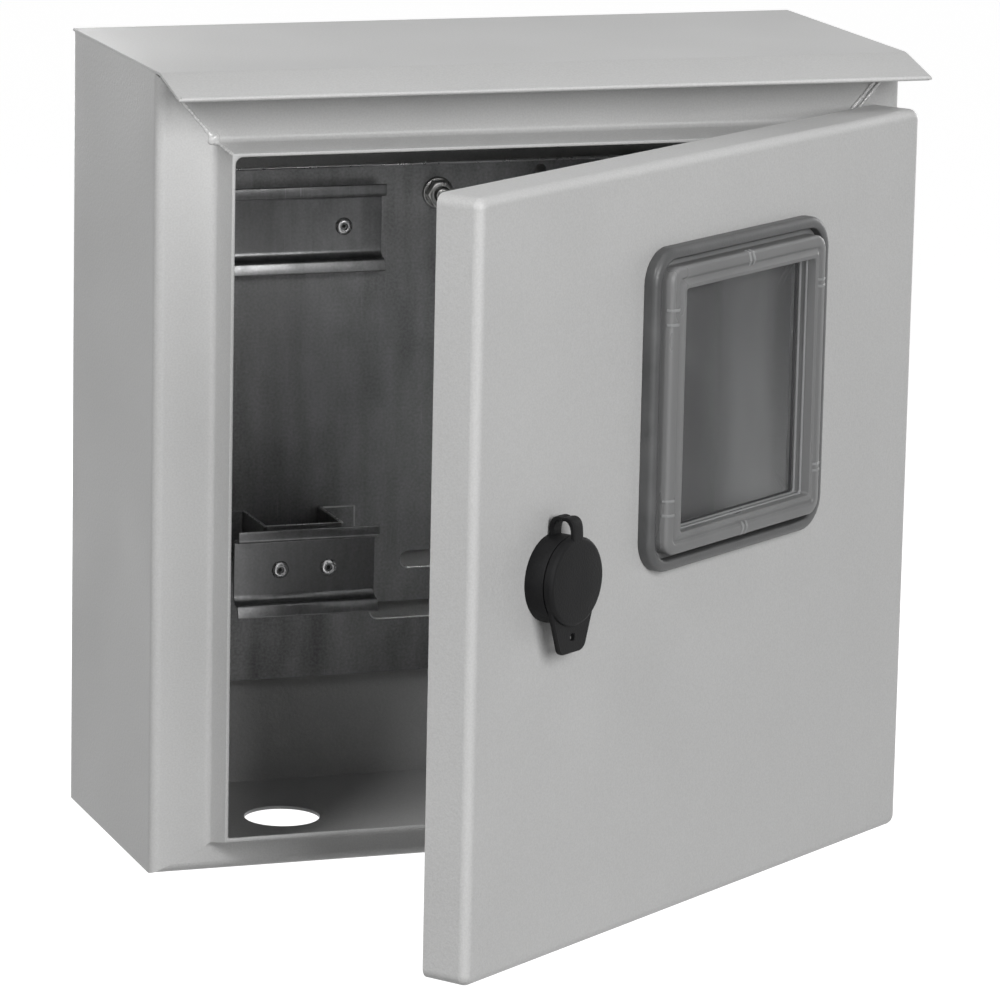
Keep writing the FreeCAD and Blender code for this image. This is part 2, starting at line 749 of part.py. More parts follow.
def build():
    wrap = body_wrap()
    fixed = {
        "body_wrap": wrap,
        "body_base": body_base(wrap),
        "body_head": body_head(wrap),
        "roof_visor": roof_visor(),
        "hinge_leaf_body_lower": body_hinge_leaf(lower_hinge_z),
        "hinge_leaf_body_upper": body_hinge_leaf(upper_hinge_z),
        "hinge_pin_lower": hinge_pin(lower_hinge_z),
        "hinge_pin_upper": hinge_pin(upper_hinge_z),
        "mounting_panel": mounting_panel(),
        "panel_studs": panel_studs(),
        "panel_spacers": panel_spacers(),
        "panel_washers": panel_washers(),
        "panel_nuts": panel_nuts(),
        "upper_rail": rail_piece(upper_rail_x, upper_rail_z, upper_rail_length, panel_face, upper_rivets_x),
        "upper_rail_rivets": rivets(upper_rivets_x, upper_rail_z, panel_face - rail, rail + panel),
        "rail_bracket": rail_bracket(),
        "bracket_rivets": rivets(bracket_rivets_x, lower_rail_z, panel_face - bracket_sheet,
                                 bracket_sheet + panel),
        "lower_rail": rail_piece(lower_rail_x, lower_rail_z, lower_rail_length, bracket_face, lower_rivets_x),
        "lower_rail_rivets": rivets(lower_rivets_x, lower_rail_z, bracket_face - rail, rail + bracket_sheet),
    }
    swung = {
        "door_shell": door_shell(),
        "door_gasket": door_gasket(),
        "hinge_leaf_door_lower": door_hinge_leaf(lower_hinge_z),
        "hinge_leaf_door_upper": door_hinge_leaf(upper_hinge_z),
        "window_seal": window_seal(),
        "window_pane": window_pane(),
        "lock_housing": lock_housing(),
        "lock_nut": lock_nut_piece(),
        "lock_barrel": lock_barrel(),
        "lock_cam": lock_cam(),
        "cam_screw": cam_screw(),
        "cap_base": cap_base(),
        "cap_lid": cap_lid(),
    }
    for name in swung:
        swung[name].rotate(Vector(hinge_x, hinge_y, 0), Vector(0, 0, 1), rest_opening)
    pieces = {**fixed, **swung}
    for name in pieces:
        pieces[name].translate(Vector(0, -back, -height / 2))
    return pieces


os.makedirs("parts", exist_ok=True)
for name, shape in build().items():
    shape.exportStep("parts/" + name + ".step")
    print(name, len(shape.Solids), "solid", round(shape.Volume, 1), "mm3, valid", shape.isValid())
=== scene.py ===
import json
import math
import bpy
import numpy as np
from mathutils import Matrix, Vector


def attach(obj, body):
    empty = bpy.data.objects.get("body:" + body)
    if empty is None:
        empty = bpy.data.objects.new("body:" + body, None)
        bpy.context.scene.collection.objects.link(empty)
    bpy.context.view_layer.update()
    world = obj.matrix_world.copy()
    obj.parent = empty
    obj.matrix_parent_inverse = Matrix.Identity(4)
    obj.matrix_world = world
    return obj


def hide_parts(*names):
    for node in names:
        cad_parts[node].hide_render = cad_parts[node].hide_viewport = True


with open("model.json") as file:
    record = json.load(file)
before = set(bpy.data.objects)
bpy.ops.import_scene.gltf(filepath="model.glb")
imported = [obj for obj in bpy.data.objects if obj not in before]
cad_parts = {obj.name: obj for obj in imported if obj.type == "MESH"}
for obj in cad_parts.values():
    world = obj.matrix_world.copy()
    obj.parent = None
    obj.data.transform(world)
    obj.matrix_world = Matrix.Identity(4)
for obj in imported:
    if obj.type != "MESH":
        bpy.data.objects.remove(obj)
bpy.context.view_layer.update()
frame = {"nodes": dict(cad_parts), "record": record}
mm = 0.001


# Camera, set from the edges of the box in the photograph

cameraValues = {
    "place": (-0.7489, -2.2213, 0.4703),
    "azimuth": 19.34,
    "elevation": 12.3,
    "roll": 1.21,
    "lens": 212.98,
    "film": 36.0,
    "reach": 60.0,
}


def makeCamera(values):
    azimuth = math.radians(values["azimuth"])
    elevation = math.radians(values["elevation"])
    roll = math.radians(values["roll"])
    ahead = Vector((math.sin(azimuth) * math.cos(elevation), math.cos(azimuth) * math.cos(elevation),
                    -math.sin(elevation)))
    right = Vector((math.cos(azimuth), -math.sin(azimuth), 0.0))
    up = right.cross(ahead)
    turnedRight = math.cos(roll) * right + math.sin(roll) * up
    turnedUp = math.cos(roll) * up - math.sin(roll) * right
    data = bpy.data.cameras.new("photoCamera")
    data.lens = values["lens"]
    data.sensor_width = values["film"]
    data.clip_end = values["reach"]
    camera = bpy.data.objects.new("photoCamera", data)
    bpy.context.scene.collection.objects.link(camera)
    turn = Matrix((turnedRight, turnedUp, -ahead)).transposed()
    camera.matrix_world = Matrix.Translation(values["place"]) @ turn.to_4x4()
    bpy.context.scene.camera = camera
    print("camera set")


# Studio

studioValues = {
    "floorLevel": -0.62,
    "floorSize": 24.0,
    "floorColour": (0.32, 0.32, 0.32),
    "floorRoughness": 0.9,
    "floorGloss": 0.1,
    "floorLift": 0.95,
    "ambient": 0.02,
    "backdrop": 1.0,
    "lamps": {
        "frontBox": {"azimuth": 7.0, "elevation": 19.0, "distance": 3.0, "size": 1.4, "power": 60.0},
        "leftBox": {"azimuth": -50.0, "elevation": 37.0, "distance": 3.0, "size": 1.0, "power": 42.0},
        "topBox": {"azimuth": -20.0, "elevation": 80.0, "distance": 3.0, "size": 1.2, "power": 7.0},
        "sideBox": {"azimuth": 118.0, "elevation": 10.0, "distance": 3.0, "size": 1.4, "power": 22.0},
        "rearBox": {"azimuth": 178.0, "elevation": 2.0, "distance": 3.0, "size": 0.9, "power": 26.0},
    },
}


def seenRays(tree):
    # 1 for camera, mirror and see-through rays, 0 for the rays that light the object
    rays = tree.nodes.new("ShaderNodeLightPath").outputs
    mirrored = sums(tree, "MAXIMUM", rays["Is Camera Ray"], rays["Is Glossy Ray"])
    return sums(tree, "MAXIMUM", mirrored, rays["Is Transmission Ray"])


def makeWorld(values):
    world = bpy.data.worlds.new("studioWorld")
    world.use_nodes = True
    tree = world.node_tree
    tree.nodes.clear()
    mix = tree.nodes.new("ShaderNodeMixShader")
    out = tree.nodes.new("ShaderNodeOutputWorld")
    tree.links.new(seenRays(tree), mix.inputs[0])
    for strength, socket in ((values["ambient"], mix.inputs[1]), (values["backdrop"], mix.inputs[2])):
        light = tree.nodes.new("ShaderNodeBackground")
        light.inputs["Color"].default_value = (1.0, 1.0, 1.0, 1.0)
        light.inputs["Strength"].default_value = strength
        tree.links.new(light.outputs[0], socket)
    tree.links.new(mix.outputs[0], out.inputs["Surface"])
    bpy.context.scene.world = world


def makeFloor(values):
    half = values["floorSize"] / 2
    level = values["floorLevel"]
    mesh = bpy.data.meshes.new("studioFloor")
    mesh.from_pydata([(-half, -half, level), (half, -half, level), (half, half, level), (-half, half, level)],
                     [], [(0, 1, 2, 3)])
    floor = bpy.data.objects.new("studioFloor", mesh)
    bpy.context.scene.collection.objects.link(floor)
    material, tree, shader = newMaterial("floorPaper", values["floorColour"], values["floorRoughness"],
                                         gloss=values["floorGloss"])
    lift = tree.nodes.new("ShaderNodeEmission")
    both = tree.nodes.new("ShaderNodeAddShader")
    tree.links.new(sums(tree, "MULTIPLY", seenRays(tree), values["floorLift"]), lift.inputs["Strength"])
    tree.links.new(shader.outputs[0], both.inputs[0])
    tree.links.new(lift.outputs[0], both.inputs[1])
    tree.links.new(both.outputs[0], tree.nodes["Material Output"].inputs["Surface"])
    mesh.materials.append(material)


def makeLamps(values):
    for name, lamp in values["lamps"].items():
        azimuth = math.radians(lamp["azimuth"])
        elevation = math.radians(lamp["elevation"])
        toLamp = Vector((math.sin(azimuth) * math.cos(elevation), -math.cos(azimuth) * math.cos(elevation),
                         math.sin(elevation)))
        data = bpy.data.lights.new(name, "AREA")
        data.shape = "SQUARE"
        data.size = lamp["size"]
        data.energy = lamp["power"]
        item = bpy.data.objects.new(name, data)
        bpy.context.scene.collection.objects.link(item)
        turn = toLamp.to_track_quat("Z", "Y").to_matrix().to_4x4()
        item.matrix_world = Matrix.Translation(toLamp * lamp["distance"]) @ turn


def makeStudio(values):
    bpy.context.scene.view_settings.view_transform = "Standard"
    makeWorld(values)
    makeFloor(values)
    makeLamps(values)
    print("studio set")


# Materials


def newMaterial(name, colour, roughness, metallic=0.0, gloss=0.5):
    material = bpy.data.materials.new(name)
    material.use_nodes = True
    shader = material.node_tree.nodes["Principled BSDF"]
    shader.inputs["Base Color"].default_value = (*colour, 1.0)
    shader.inputs["Roughness"].default_value = roughness
    shader.inputs["Metallic"].default_value = metallic
    shader.inputs["Specular IOR Level"].default_value = gloss
    return material, material.node_tree, shader


def newGroup(name, inputs, outputs):
    group = bpy.data.node_groups.new(name, "ShaderNodeTree")
    for label in inputs:
        group.interface.new_socket(label, in_out="INPUT", socket_type="NodeSocketFloat")
    for label in outputs:
        group.interface.new_socket(label, in_out="OUTPUT", socket_type="NodeSocketFloat")
    return group, group.nodes.new("NodeGroupInput").outputs, group.nodes.new("NodeGroupOutput").inputs


def feed(tree, value, socket):
    # A number is set on the socket, an output is linked to it
    if isinstance(value, (int, float)):
        socket.default_value = value
    else:
        tree.links.new(value, socket)


def sums(tree, operation, first, second=0.0, third=0.0, clamp=False):
    node = tree.nodes.new("ShaderNodeMath")
    node.operation = operation
    node.use_clamp = clamp
    for value, socket in zip((first, second, third), node.inputs):
        feed(tree, value, socket)
    return node.outputs[0]


def spread(tree, value, low, high, bottom=0.0, top=1.0):
    # Stretches what lies between low and high over bottom to top
    node = tree.nodes.new("ShaderNodeMapRange")
    for number, socket in zip((value, low, high, bottom, top), node.inputs):
        feed(tree, number, socket)
    return node.outputs[0]


def ownPlace(tree, stretch=(1.0, 1.0, 1.0)):
    # Object coordinates, squeezed where a pattern runs along one way
    place = tree.nodes.new("ShaderNodeTexCoord")
    mapping = tree.nodes.new("ShaderNodeMapping")
    mapping.inputs["Scale"].default_value = stretch
    tree.links.new(place.outputs["Object"], mapping.inputs["Vector"])
    return mapping.outputs[0]


def noise(tree, place, size, detail=2.0, twist=0.0):
    node = tree.nodes.new("ShaderNodeTexNoise")
    tree.links.new(place, node.inputs["Vector"])
    feed(tree, size, node.inputs["Scale"])
    node.inputs["Detail"].default_value = detail
    node.inputs["Distortion"].default_value = twist
    return node.outputs["Fac"]


def cells(tree, place, size, feature, output):
    node = tree.nodes.new("ShaderNodeTexVoronoi")
    node.feature = feature
    tree.links.new(place, node.inputs["Vector"])
    feed(tree, size, node.inputs["Scale"])
    return node.outputs[output]


peelPattern = {
    "grainShare": 0.35,
    "speckle": (0.35, 0.65),
    "cloudSize": 14.0,
    "cloud": (0.3, 0.7),
}


def powderGroup():
    # Orange peel of a fine powder coat: two sizes of soft bumps, a speckle of grains and wide soft clouds
    p = peelPattern
    group, given, out = newGroup("powderPeel", ["Peel size", "Grain size"], ["Height", "Speckle", "Cloud"])
    place = ownPlace(group)
    peel = noise(group, place, given["Peel size"])
    grain = noise(group, place, given["Grain size"], 1.0)
    cloud = noise(group, place, p["cloudSize"], 3.0)
    group.links.new(sums(group, "MULTIPLY_ADD", grain, p["grainShare"], peel), out["Height"])
    group.links.new(spread(group, grain, *p["speckle"]), out["Speckle"])
    group.links.new(spread(group, cloud, *p["cloud"]), out["Cloud"])
    return group


zincPattern = {
    "patchDrawn": 0.6,
    "patchShare": 0.25,
    "cloudSize": 22.0,
    "cloudTwist": 0.4,
    "cloudShare": 0.7,
    "fineSize": 900.0,
    "fineShare": 0.9,
    "streakDrawn": 0.12,
    "streak": (0.3, 0.7),
    "scratchDrawn": 0.035,
    "scratchTwist": 0.3,
    "scratchWidth": 0.01,
    "scratchShare": 0.6,
    "rareSize": 30.0,
    "rare": (0.62, 0.74),
    "grainSize": 1500.0,
    "grainShare": 0.6,
}


def zincGroup():
    # Galvanised skin: crystal patches, clouds, streaks down the sheet and a few long scratches
    p = zincPattern
    group, given, out = newGroup("zincSkin", ["Patch size", "Streak size", "Scratch size"],
                                 ["Patches", "Streaks", "Scratches", "Height"])
    place = ownPlace(group)
    patchPlace = ownPlace(group, (1.0, 1.0, p["patchDrawn"]))
    crystals = cells(group, patchPlace, given["Patch size"], "SMOOTH_F1", "Color")
    tone = group.nodes.new("ShaderNodeSeparateColor")
    group.links.new(crystals, tone.inputs[0])
    cloud = noise(group, place, p["cloudSize"], 4.0, p["cloudTwist"])
    fine = noise(group, place, p["fineSize"])
    clouds = sums(group, "MULTIPLY", cloud, p["cloudShare"])
    patches = sums(group, "MULTIPLY_ADD", tone.outputs[0], p["patchShare"], clouds)
    patches = sums(group, "MULTIPLY_ADD", sums(group, "SUBTRACT", fine, 0.5), p["fineShare"], patches)
    streak = noise(group, ownPlace(group, (1.0, 1.0, p["streakDrawn"])), given["Streak size"], 3.0)
    scratchPlace = ownPlace(group, (1.0, 1.0, p["scratchDrawn"]))
    line = noise(group, scratchPlace, given["Scratch size"], 1.0, p["scratchTwist"])
    rare = noise(group, place, p["rareSize"], 1.0)
    offLine = sums(group, "ABSOLUTE", sums(group, "SUBTRACT", line, 0.5))
    thin = spread(group, offLine, 0.0, p["scratchWidth"], p["scratchShare"], 0.0)
    scratches = sums(group, "MULTIPLY", thin, spread(group, rare, *p["rare"]))
    grain = noise(group, place, p["grainSize"])
    group.links.new(patches, out["Patches"])
    group.links.new(spread(group, streak, *p["streak"]), out["Streaks"])
    group.links.new(scratches, out["Scratches"])
    group.links.new(sums(group, "MULTIPLY_ADD", grain, p["grainShare"], streak), out["Height"])
    return group


grainPattern = {
    "fineTimes": 2.1,
    "fineShare": 0.5,
    "patches": (0.35, 0.7),
}


def grainGroup():
    # Moulded grain of rubber and plastic, with dull patches where hands and dust have been
    p = grainPattern
    group, given, out = newGroup("mouldGrain", ["Grain size", "Patch size"], ["Height", "Patches"])
    place = ownPlace(group)
    grain = cells(group, place, given["Grain size"], "F1", "Distance")
    fine = noise(group, place, sums(group, "MULTIPLY", given["Grain size"], p["fineTimes"]), 1.0)
    dull = noise(group, place, given["Patch size"], 3.0)
    group.links.new(sums(group, "MULTIPLY_ADD", fine, p["fineShare"], grain), out["Height"])
    group.links.new(spread(group, dull, *p["patches"]), out["Patches"])
    return group


hazePattern = {
    "wipeDrawn": 0.25,
    "wipeTwist": 0.2,
    "dust": (0.3, 0.75),
}


def hazeGroup():
    # Haze of a clear moulding: slow ripples of the mould, and clouds of fine dust wiped down the window
    p = hazePattern
    group, given, out = newGroup("wipedHaze", ["Ripple size", "Dust size"], ["Height", "Dust"])
    ripple = noise(group, ownPlace(group), given["Ripple size"], 0.0)
    wiped = noise(group, ownPlace(group, (1.0, 1.0, p["wipeDrawn"])), given["Dust size"], 3.0, p["wipeTwist"])
    group.links.new(ripple, out["Height"])
    group.links.new(spread(group, wiped, *p["dust"]), out["Dust"])
    return group


def placeGroup(tree, group, **values):
    node = tree.nodes.new("ShaderNodeGroup")
    node.node_tree = group
    for label, value in values.items():
        node.inputs[label.replace("_", " ")].default_value = value
    return node.outputs


def mixColours(tree, share, first, second):
    # Each colour is three numbers or an output
    node = tree.nodes.new("ShaderNodeMix")
    node.data_type = "RGBA"
    tree.links.new(share, node.inputs["Factor"])
    for colour, label in ((first, "A"), (second, "B")):
        if isinstance(colour, tuple):
            node.inputs[label].default_value = (*colour, 1.0)
        else:
            tree.links.new(colour, node.inputs[label])
    return node.outputs["Result"]


def finishSurface(tree, shader, values, colour, wear, height, reliefDepth):
    # Colour, roughness that follows the wear, and a fine relief
    tree.links.new(colour, shader.inputs["Base Color"])
    tree.links.new(spread(tree, wear, 0.0, 1.0, *values["roughness"]), shader.inputs["Roughness"])
    bump = tree.nodes.new("ShaderNodeBump")
    bump.inputs["Strength"].default_value = values["bump"]
    bump.inputs["Distance"].default_value = reliefDepth
    tree.links.new(height, bump.inputs["Height"])
    tree.links.new(bump.outputs["Normal"], shader.inputs["Normal"])


paintValues = {
    "powderCoat": {"colour": (0.568, 0.568, 0.565), "darker": (0.495, 0.495, 0.492),
                   "roughness": (0.34, 0.46), "gloss": 0.35, "bump": 0.42},
    # pooledHighlightCoat: glossier paint on the weld runs, lighter than the powder coat as a painted
    # highlight
    "pooledHighlightCoat": {"colour": (0.66, 0.66, 0.655), "darker": (0.6, 0.6, 0.595),
                   "roughness": (0.16, 0.24), "gloss": 1.0, "bump": 0.1},
}
paintSkin = {
    "peelSize": 620.0,
    "grainSize": 1400.0,
    "speckleShare": 0.55,
    "cloudShare": 0.45,
    "relief": 0.0003,
}


def makePaint(name, groups):
    v, s = paintValues[name], paintSkin
    material, tree, shader = newMaterial(name, v["colour"], v["roughness"][0], gloss=v["gloss"])
    skin = placeGroup(tree, groups["powder"], Peel_size=s["peelSize"], Grain_size=s["grainSize"])
    clouds = sums(tree, "MULTIPLY", skin["Cloud"], s["cloudShare"])
    shade = sums(tree, "MULTIPLY_ADD", skin["Speckle"], s["speckleShare"], clouds)
    colour = mixColours(tree, shade, v["darker"], v["colour"])
    finishSurface(tree, shader, v, colour, skin["Cloud"], skin["Height"], s["relief"])
    return material


metalValues = {
    "galvanised": {"dull": (0.1, 0.101, 0.102), "bright": (0.34, 0.341, 0.342),
                   "scratch": (0.48, 0.48, 0.48), "roughness": (0.52, 0.36),
                   "patch": 150.0, "streak": 90.0, "scratches": 160.0, "bump": 0.12},
    "railZinc": {"dull": (0.13, 0.131, 0.132), "bright": (0.27, 0.271, 0.273),
                 "scratch": (0.5, 0.5, 0.5), "roughness": (0.42, 0.3),
                 "patch": 320.0, "streak": 220.0, "scratches": 260.0, "bump": 0.08},
    "rivetMetal": {"dull": (0.4, 0.4, 0.405), "bright": (0.6, 0.6, 0.605),
                   "scratch": (0.85, 0.85, 0.85), "roughness": (0.34, 0.24),
                   "patch": 700.0, "streak": 500.0, "scratches": 600.0, "bump": 0.05},
    "platedSteel": {"dull": (0.2, 0.2, 0.196), "bright": (0.42, 0.42, 0.41),
                    "scratch": (0.8, 0.8, 0.8), "roughness": (0.36, 0.24),
                    "patch": 500.0, "streak": 380.0, "scratches": 400.0, "bump": 0.06},
    # Near-black steel for the rivet mandrels: painted shade in the deep bore of each rivet
    "mandrelShadeSteel": {"dull": (0.012, 0.012, 0.012), "bright": (0.035, 0.035, 0.034),
                       "scratch": (0.1, 0.1, 0.1), "roughness": (0.6, 0.5),
                       "patch": 900.0, "streak": 700.0, "scratches": 900.0, "bump": 0.05},
    "chromedLock": {"dull": (0.56, 0.56, 0.57), "bright": (0.68, 0.68, 0.69),
                    "scratch": (0.85, 0.85, 0.85), "roughness": (0.26, 0.14),
                    "patch": 260.0, "streak": 300.0, "scratches": 300.0, "bump": 0.03},
}
metalSkin = {
    "streakShare": 0.35,
    "patchShare": 0.7,
    "worn": (0.1, 0.9),
    "relief": 0.0002,
}


def makeMetal(name, groups):
    v, s = metalValues[name], metalSkin
    material, tree, shader = newMaterial(name, v["bright"], v["roughness"][0], 1.0)
    skin = placeGroup(tree, groups["zinc"], Patch_size=v["patch"], Streak_size=v["streak"],
                      Scratch_size=v["scratches"])
    patches = sums(tree, "MULTIPLY", skin["Patches"], s["patchShare"])
    tone = sums(tree, "MULTIPLY_ADD", skin["Streaks"], s["streakShare"], patches, clamp=True)
    colour = mixColours(tree, skin["Scratches"], mixColours(tree, tone, v["dull"], v["bright"]), v["scratch"])
    finishSurface(tree, shader, v, colour, spread(tree, tone, *s["worn"]), skin["Height"], s["relief"])
    return material


mouldedValues = {
    "sealRubber": {"colour": (0.056, 0.057, 0.058), "dusty": (0.085, 0.086, 0.087),
                   "roughness": (0.36, 0.5), "gloss": 0.5, "grain": 1500.0, "patch": 60.0, "bump": 0.2},
    "blackPlastic": {"colour": (0.007, 0.007, 0.0074), "dusty": (0.012, 0.012, 0.0125),
                     "roughness": (0.46, 0.6), "gloss": 0.1, "grain": 1300.0, "patch": 90.0, "bump": 0.25},
    "gasketFoam": {"colour": (0.035, 0.035, 0.037), "dusty": (0.065, 0.065, 0.066),
                   "roughness": (0.85, 0.95), "gloss": 0.2, "grain": 900.0, "patch": 40.0, "bump": 0.7},
}
mouldedRelief = 0.0002


def makeMoulded(name, groups):
    v = mouldedValues[name]
    material, tree, shader = newMaterial(name, v["colour"], v["roughness"][0], gloss=v["gloss"])
    skin = placeGroup(tree, groups["grain"], Grain_size=v["grain"], Patch_size=v["patch"])
    colour = mixColours(tree, skin["Patches"], v["colour"], v["dusty"])
    finishSurface(tree, shader, v, colour, skin["Patches"], skin["Height"], mouldedRelief)
    return material


clearValues = {
    "milkyFrame": {"colour": (0.285, 0.286, 0.288), "dusty": (0.235, 0.236, 0.238),
                   "roughness": (0.26, 0.38), "through": 0.32, "bend": 1.3,
                   "ripple": 40.0, "dust": 30.0, "bump": 0.01},
    # Frosted moulding for the catches and ridges, lighter than the frame as a painted highlight on them
    "frostedRibHighlight": {"colour": (0.39, 0.394, 0.398), "dusty": (0.33, 0.334, 0.338),
                   "roughness": (0.3, 0.42), "through": 0.3, "bend": 1.3,
                   "ripple": 200.0, "dust": 90.0, "bump": 0.06},
    "clearPane": {"colour": (0.8, 0.805, 0.81), "dusty": (0.6, 0.605, 0.61),
                  "roughness": (0.05, 0.2), "through": 0.94, "bend": 1.12,
                  "ripple": 20.0, "dust": 34.0, "bump": 0.02},
}
clearRelief = 0.0003


def makeClear(name, groups):
    v = clearValues[name]
    material, tree, shader = newMaterial(name, v["colour"], v["roughness"][0])
    skin = placeGroup(tree, groups["haze"], Ripple_size=v["ripple"], Dust_size=v["dust"])
    shader.inputs["Transmission Weight"].default_value = v["through"]
    shader.inputs["IOR"].default_value = v["bend"]
    colour = mixColours(tree, skin["Dust"], v["colour"], v["dusty"])
    finishSurface(tree, shader, v, colour, skin["Dust"], skin["Height"], clearRelief)
    return material


def makeMaterials():
    groups = {"powder": powderGroup(), "zinc": zincGroup(), "grain": grainGroup(), "haze": hazeGroup()}
    kinds = ((paintValues, makePaint), (metalValues, makeMetal), (mouldedValues, makeMoulded),
             (clearValues, makeClear))
    materials = {name: make(name, groups) for values, make in kinds for name in values}
    print("materials made")
    return materials


nodeFinishes = {
    "paint": "powderCoat",
    "zinc": "galvanised",
    "rivet": "rivetMetal",
    "rubber": "sealRubber",
    "black": "blackPlastic",
    "clear": "milkyFrame",
    "lock_barrel": "chromedLock",
    "cam_screw": "platedSteel",
    "hinge_pin_upper": "platedSteel",
    "hinge_pin_lower": "platedSteel",
}


def paintNodes(materials):
    # A node takes its own finish, or that of its material slot
    for part in frame["record"]["subparts"]:
        finish = nodeFinishes.get(part["node"], nodeFinishes[part["material_slot"]])
        item = frame["nodes"][part["node"]]
        item.data.materials.clear()
        item.data.materials.append(materials[finish])
    print("CAD nodes painted")


# Shapes worked out on grids, in millimetres

squareCorners = np.array([1 + 1j, -1 + 1j, -1 - 1j, 1 - 1j])


def ringAngles(count):
    return np.arange(count) * 2 * np.pi / count


def roundCorners(corners, radii, steps):
    # Closed outline of complex numbers x + iz with its corners turned into arcs.
    # An arc starts r tan(|turn| / 2) before its corner and runs as
    # centre + (start - centre) exp(i turn s), s from 0 to 1.
    corners = np.asarray(corners, dtype=complex)
    radii = np.broadcast_to(radii, corners.shape)
    wayIn = corners - np.roll(corners, 1, axis=-1)
    wayIn = wayIn / np.abs(wayIn)
    wayOut = np.roll(wayIn, -1, axis=-1)
    turn = np.angle(wayOut / wayIn)
    start = corners - wayIn * radii * np.tan(np.abs(turn) / 2)
    centre = start + 1j * np.sign(turn) * wayIn * radii
    share = np.linspace(0.0, 1.0, steps)
    arcs = centre[..., None] + (start - centre)[..., None] * np.exp(1j * turn[..., None] * share)
    return arcs.reshape(*corners.shape[:-1], -1)


def softSquare(radius):
    # Closed section, one high and one wide, with rounded corners
    return roundCorners(squareCorners / 2, radius, 4)


def rectangleRings(half, radius, insets, leastRadius, steps):
    # One rounded rectangle for each inset: half sizes and corner radius shrink by the inset
    insets = np.asarray(insets, dtype=float)[:, None]
    corners = squareCorners.real * (half[0] - insets) + 1j * squareCorners.imag * (half[1] - insets)
    return roundCorners(corners, np.maximum(radius - insets, leastRadius), steps)


def roundSweep(radii, lengths, count, around):
    # Turned part: (r cos a, r sin a) across, and its length along the axis for each row
    ring = np.asarray(radii, dtype=float)[:, None] * np.exp(1j * ringAngles(count))
    return ring + around, np.broadcast_to(np.asarray(lengths, dtype=float)[:, None], ring.shape)


def closedGrid(points, wrapRows):
    # Quads of a grid that closes along its columns. The rows close too, or each end gets a middle point.
    rows, cols = points.shape[:2]
    vertices = points.reshape(-1, 3)
    row = np.arange(rows if wrapRows else rows - 1)
    r0, c0 = np.meshgrid(row, np.arange(cols), indexing="ij")
    r1 = (r0 + 1) % rows
    c1 = (c0 + 1) % cols
    quads = np.stack([r0 * cols + c0, r1 * cols + c0, r1 * cols + c1, r0 * cols + c1], axis=-1).reshape(-1, 4)
    fans = np.zeros((0, 3), dtype=int)
    if not wrapRows:
        c = np.arange(cols)
        n = (c + 1) % cols
        last = (rows - 1) * cols
        vertices = np.vstack([vertices, points[0].mean(axis=0), points[-1].mean(axis=0)])
        fans = np.vstack([np.stack([c, n, np.full(cols, rows * cols)], axis=-1),
                          np.stack([last + n, last + c, np.full(cols, rows * cols + 1)], axis=-1)])
    corners = vertices[np.vstack([fans, quads[:, :3], quads[:, [0, 2, 3]]])]
    volume = np.einsum("ij,ij->i", corners[:, 0], np.cross(corners[:, 1], corners[:, 2])).sum()
    if volume < 0:
        quads = quads[:, ::-1]
        fans = fans[:, ::-1]
    return vertices, quads.tolist() + fans.tolist()


def makePiece(name, grids, body, material, replaced=(), sharp=38.0):
    # Puts closed grids into one mesh; each is (points, rows closed or not)
    vertices = []
    faces = []
    count = 0
    for points, wrapRows in grids:
        some, polygons = closedGrid(points, wrapRows)
        vertices.append(some)
        faces += [[index + count for index in polygon] for polygon in polygons]
        count += len(some)
    mesh = bpy.data.meshes.new(name)
    mesh.from_pydata((np.vstack(vertices) * mm).tolist(), [], faces)
    mesh.polygons.foreach_set("use_smooth", np.ones(len(mesh.polygons), dtype=bool))
    mesh.set_sharp_from_angle(angle=math.radians(sharp))
    mesh.materials.append(material)
    piece = bpy.data.objects.new(name, mesh)
    bpy.context.scene.collection.objects.link(piece)
    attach(piece, body)
    if replaced:
        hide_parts(*replaced)


# Places on the door, which stands open

doorValues = {
    "hinge": (141.4, -131.0),
    "face": -141.5,
    "opening": 35.2,
}


def onDoor(across, out):
    # A point of the shut door x + iz, out before its face, turned about the hinge line:
    # p = hinge + (q - hinge) exp(i opening) in the plan
    hinge = complex(*doorValues["hinge"])
    plan = across.real + 1j * (doorValues["face"] - out) - hinge
    plan = hinge + plan * np.exp(1j * math.radians(doorValues["opening"]))
    return np.stack([plan.real, plan.imag, np.broadcast_to(across.imag, plan.shape)], axis=-1)


def onPanel(across, out, face):
    # A point x + iz of the cabinet, out before an upright face
    across, out = np.broadcast_arrays(across, out)
    return np.stack([across.real, face - out, across.imag], axis=-1)


# Window: rubber seal and clear tray

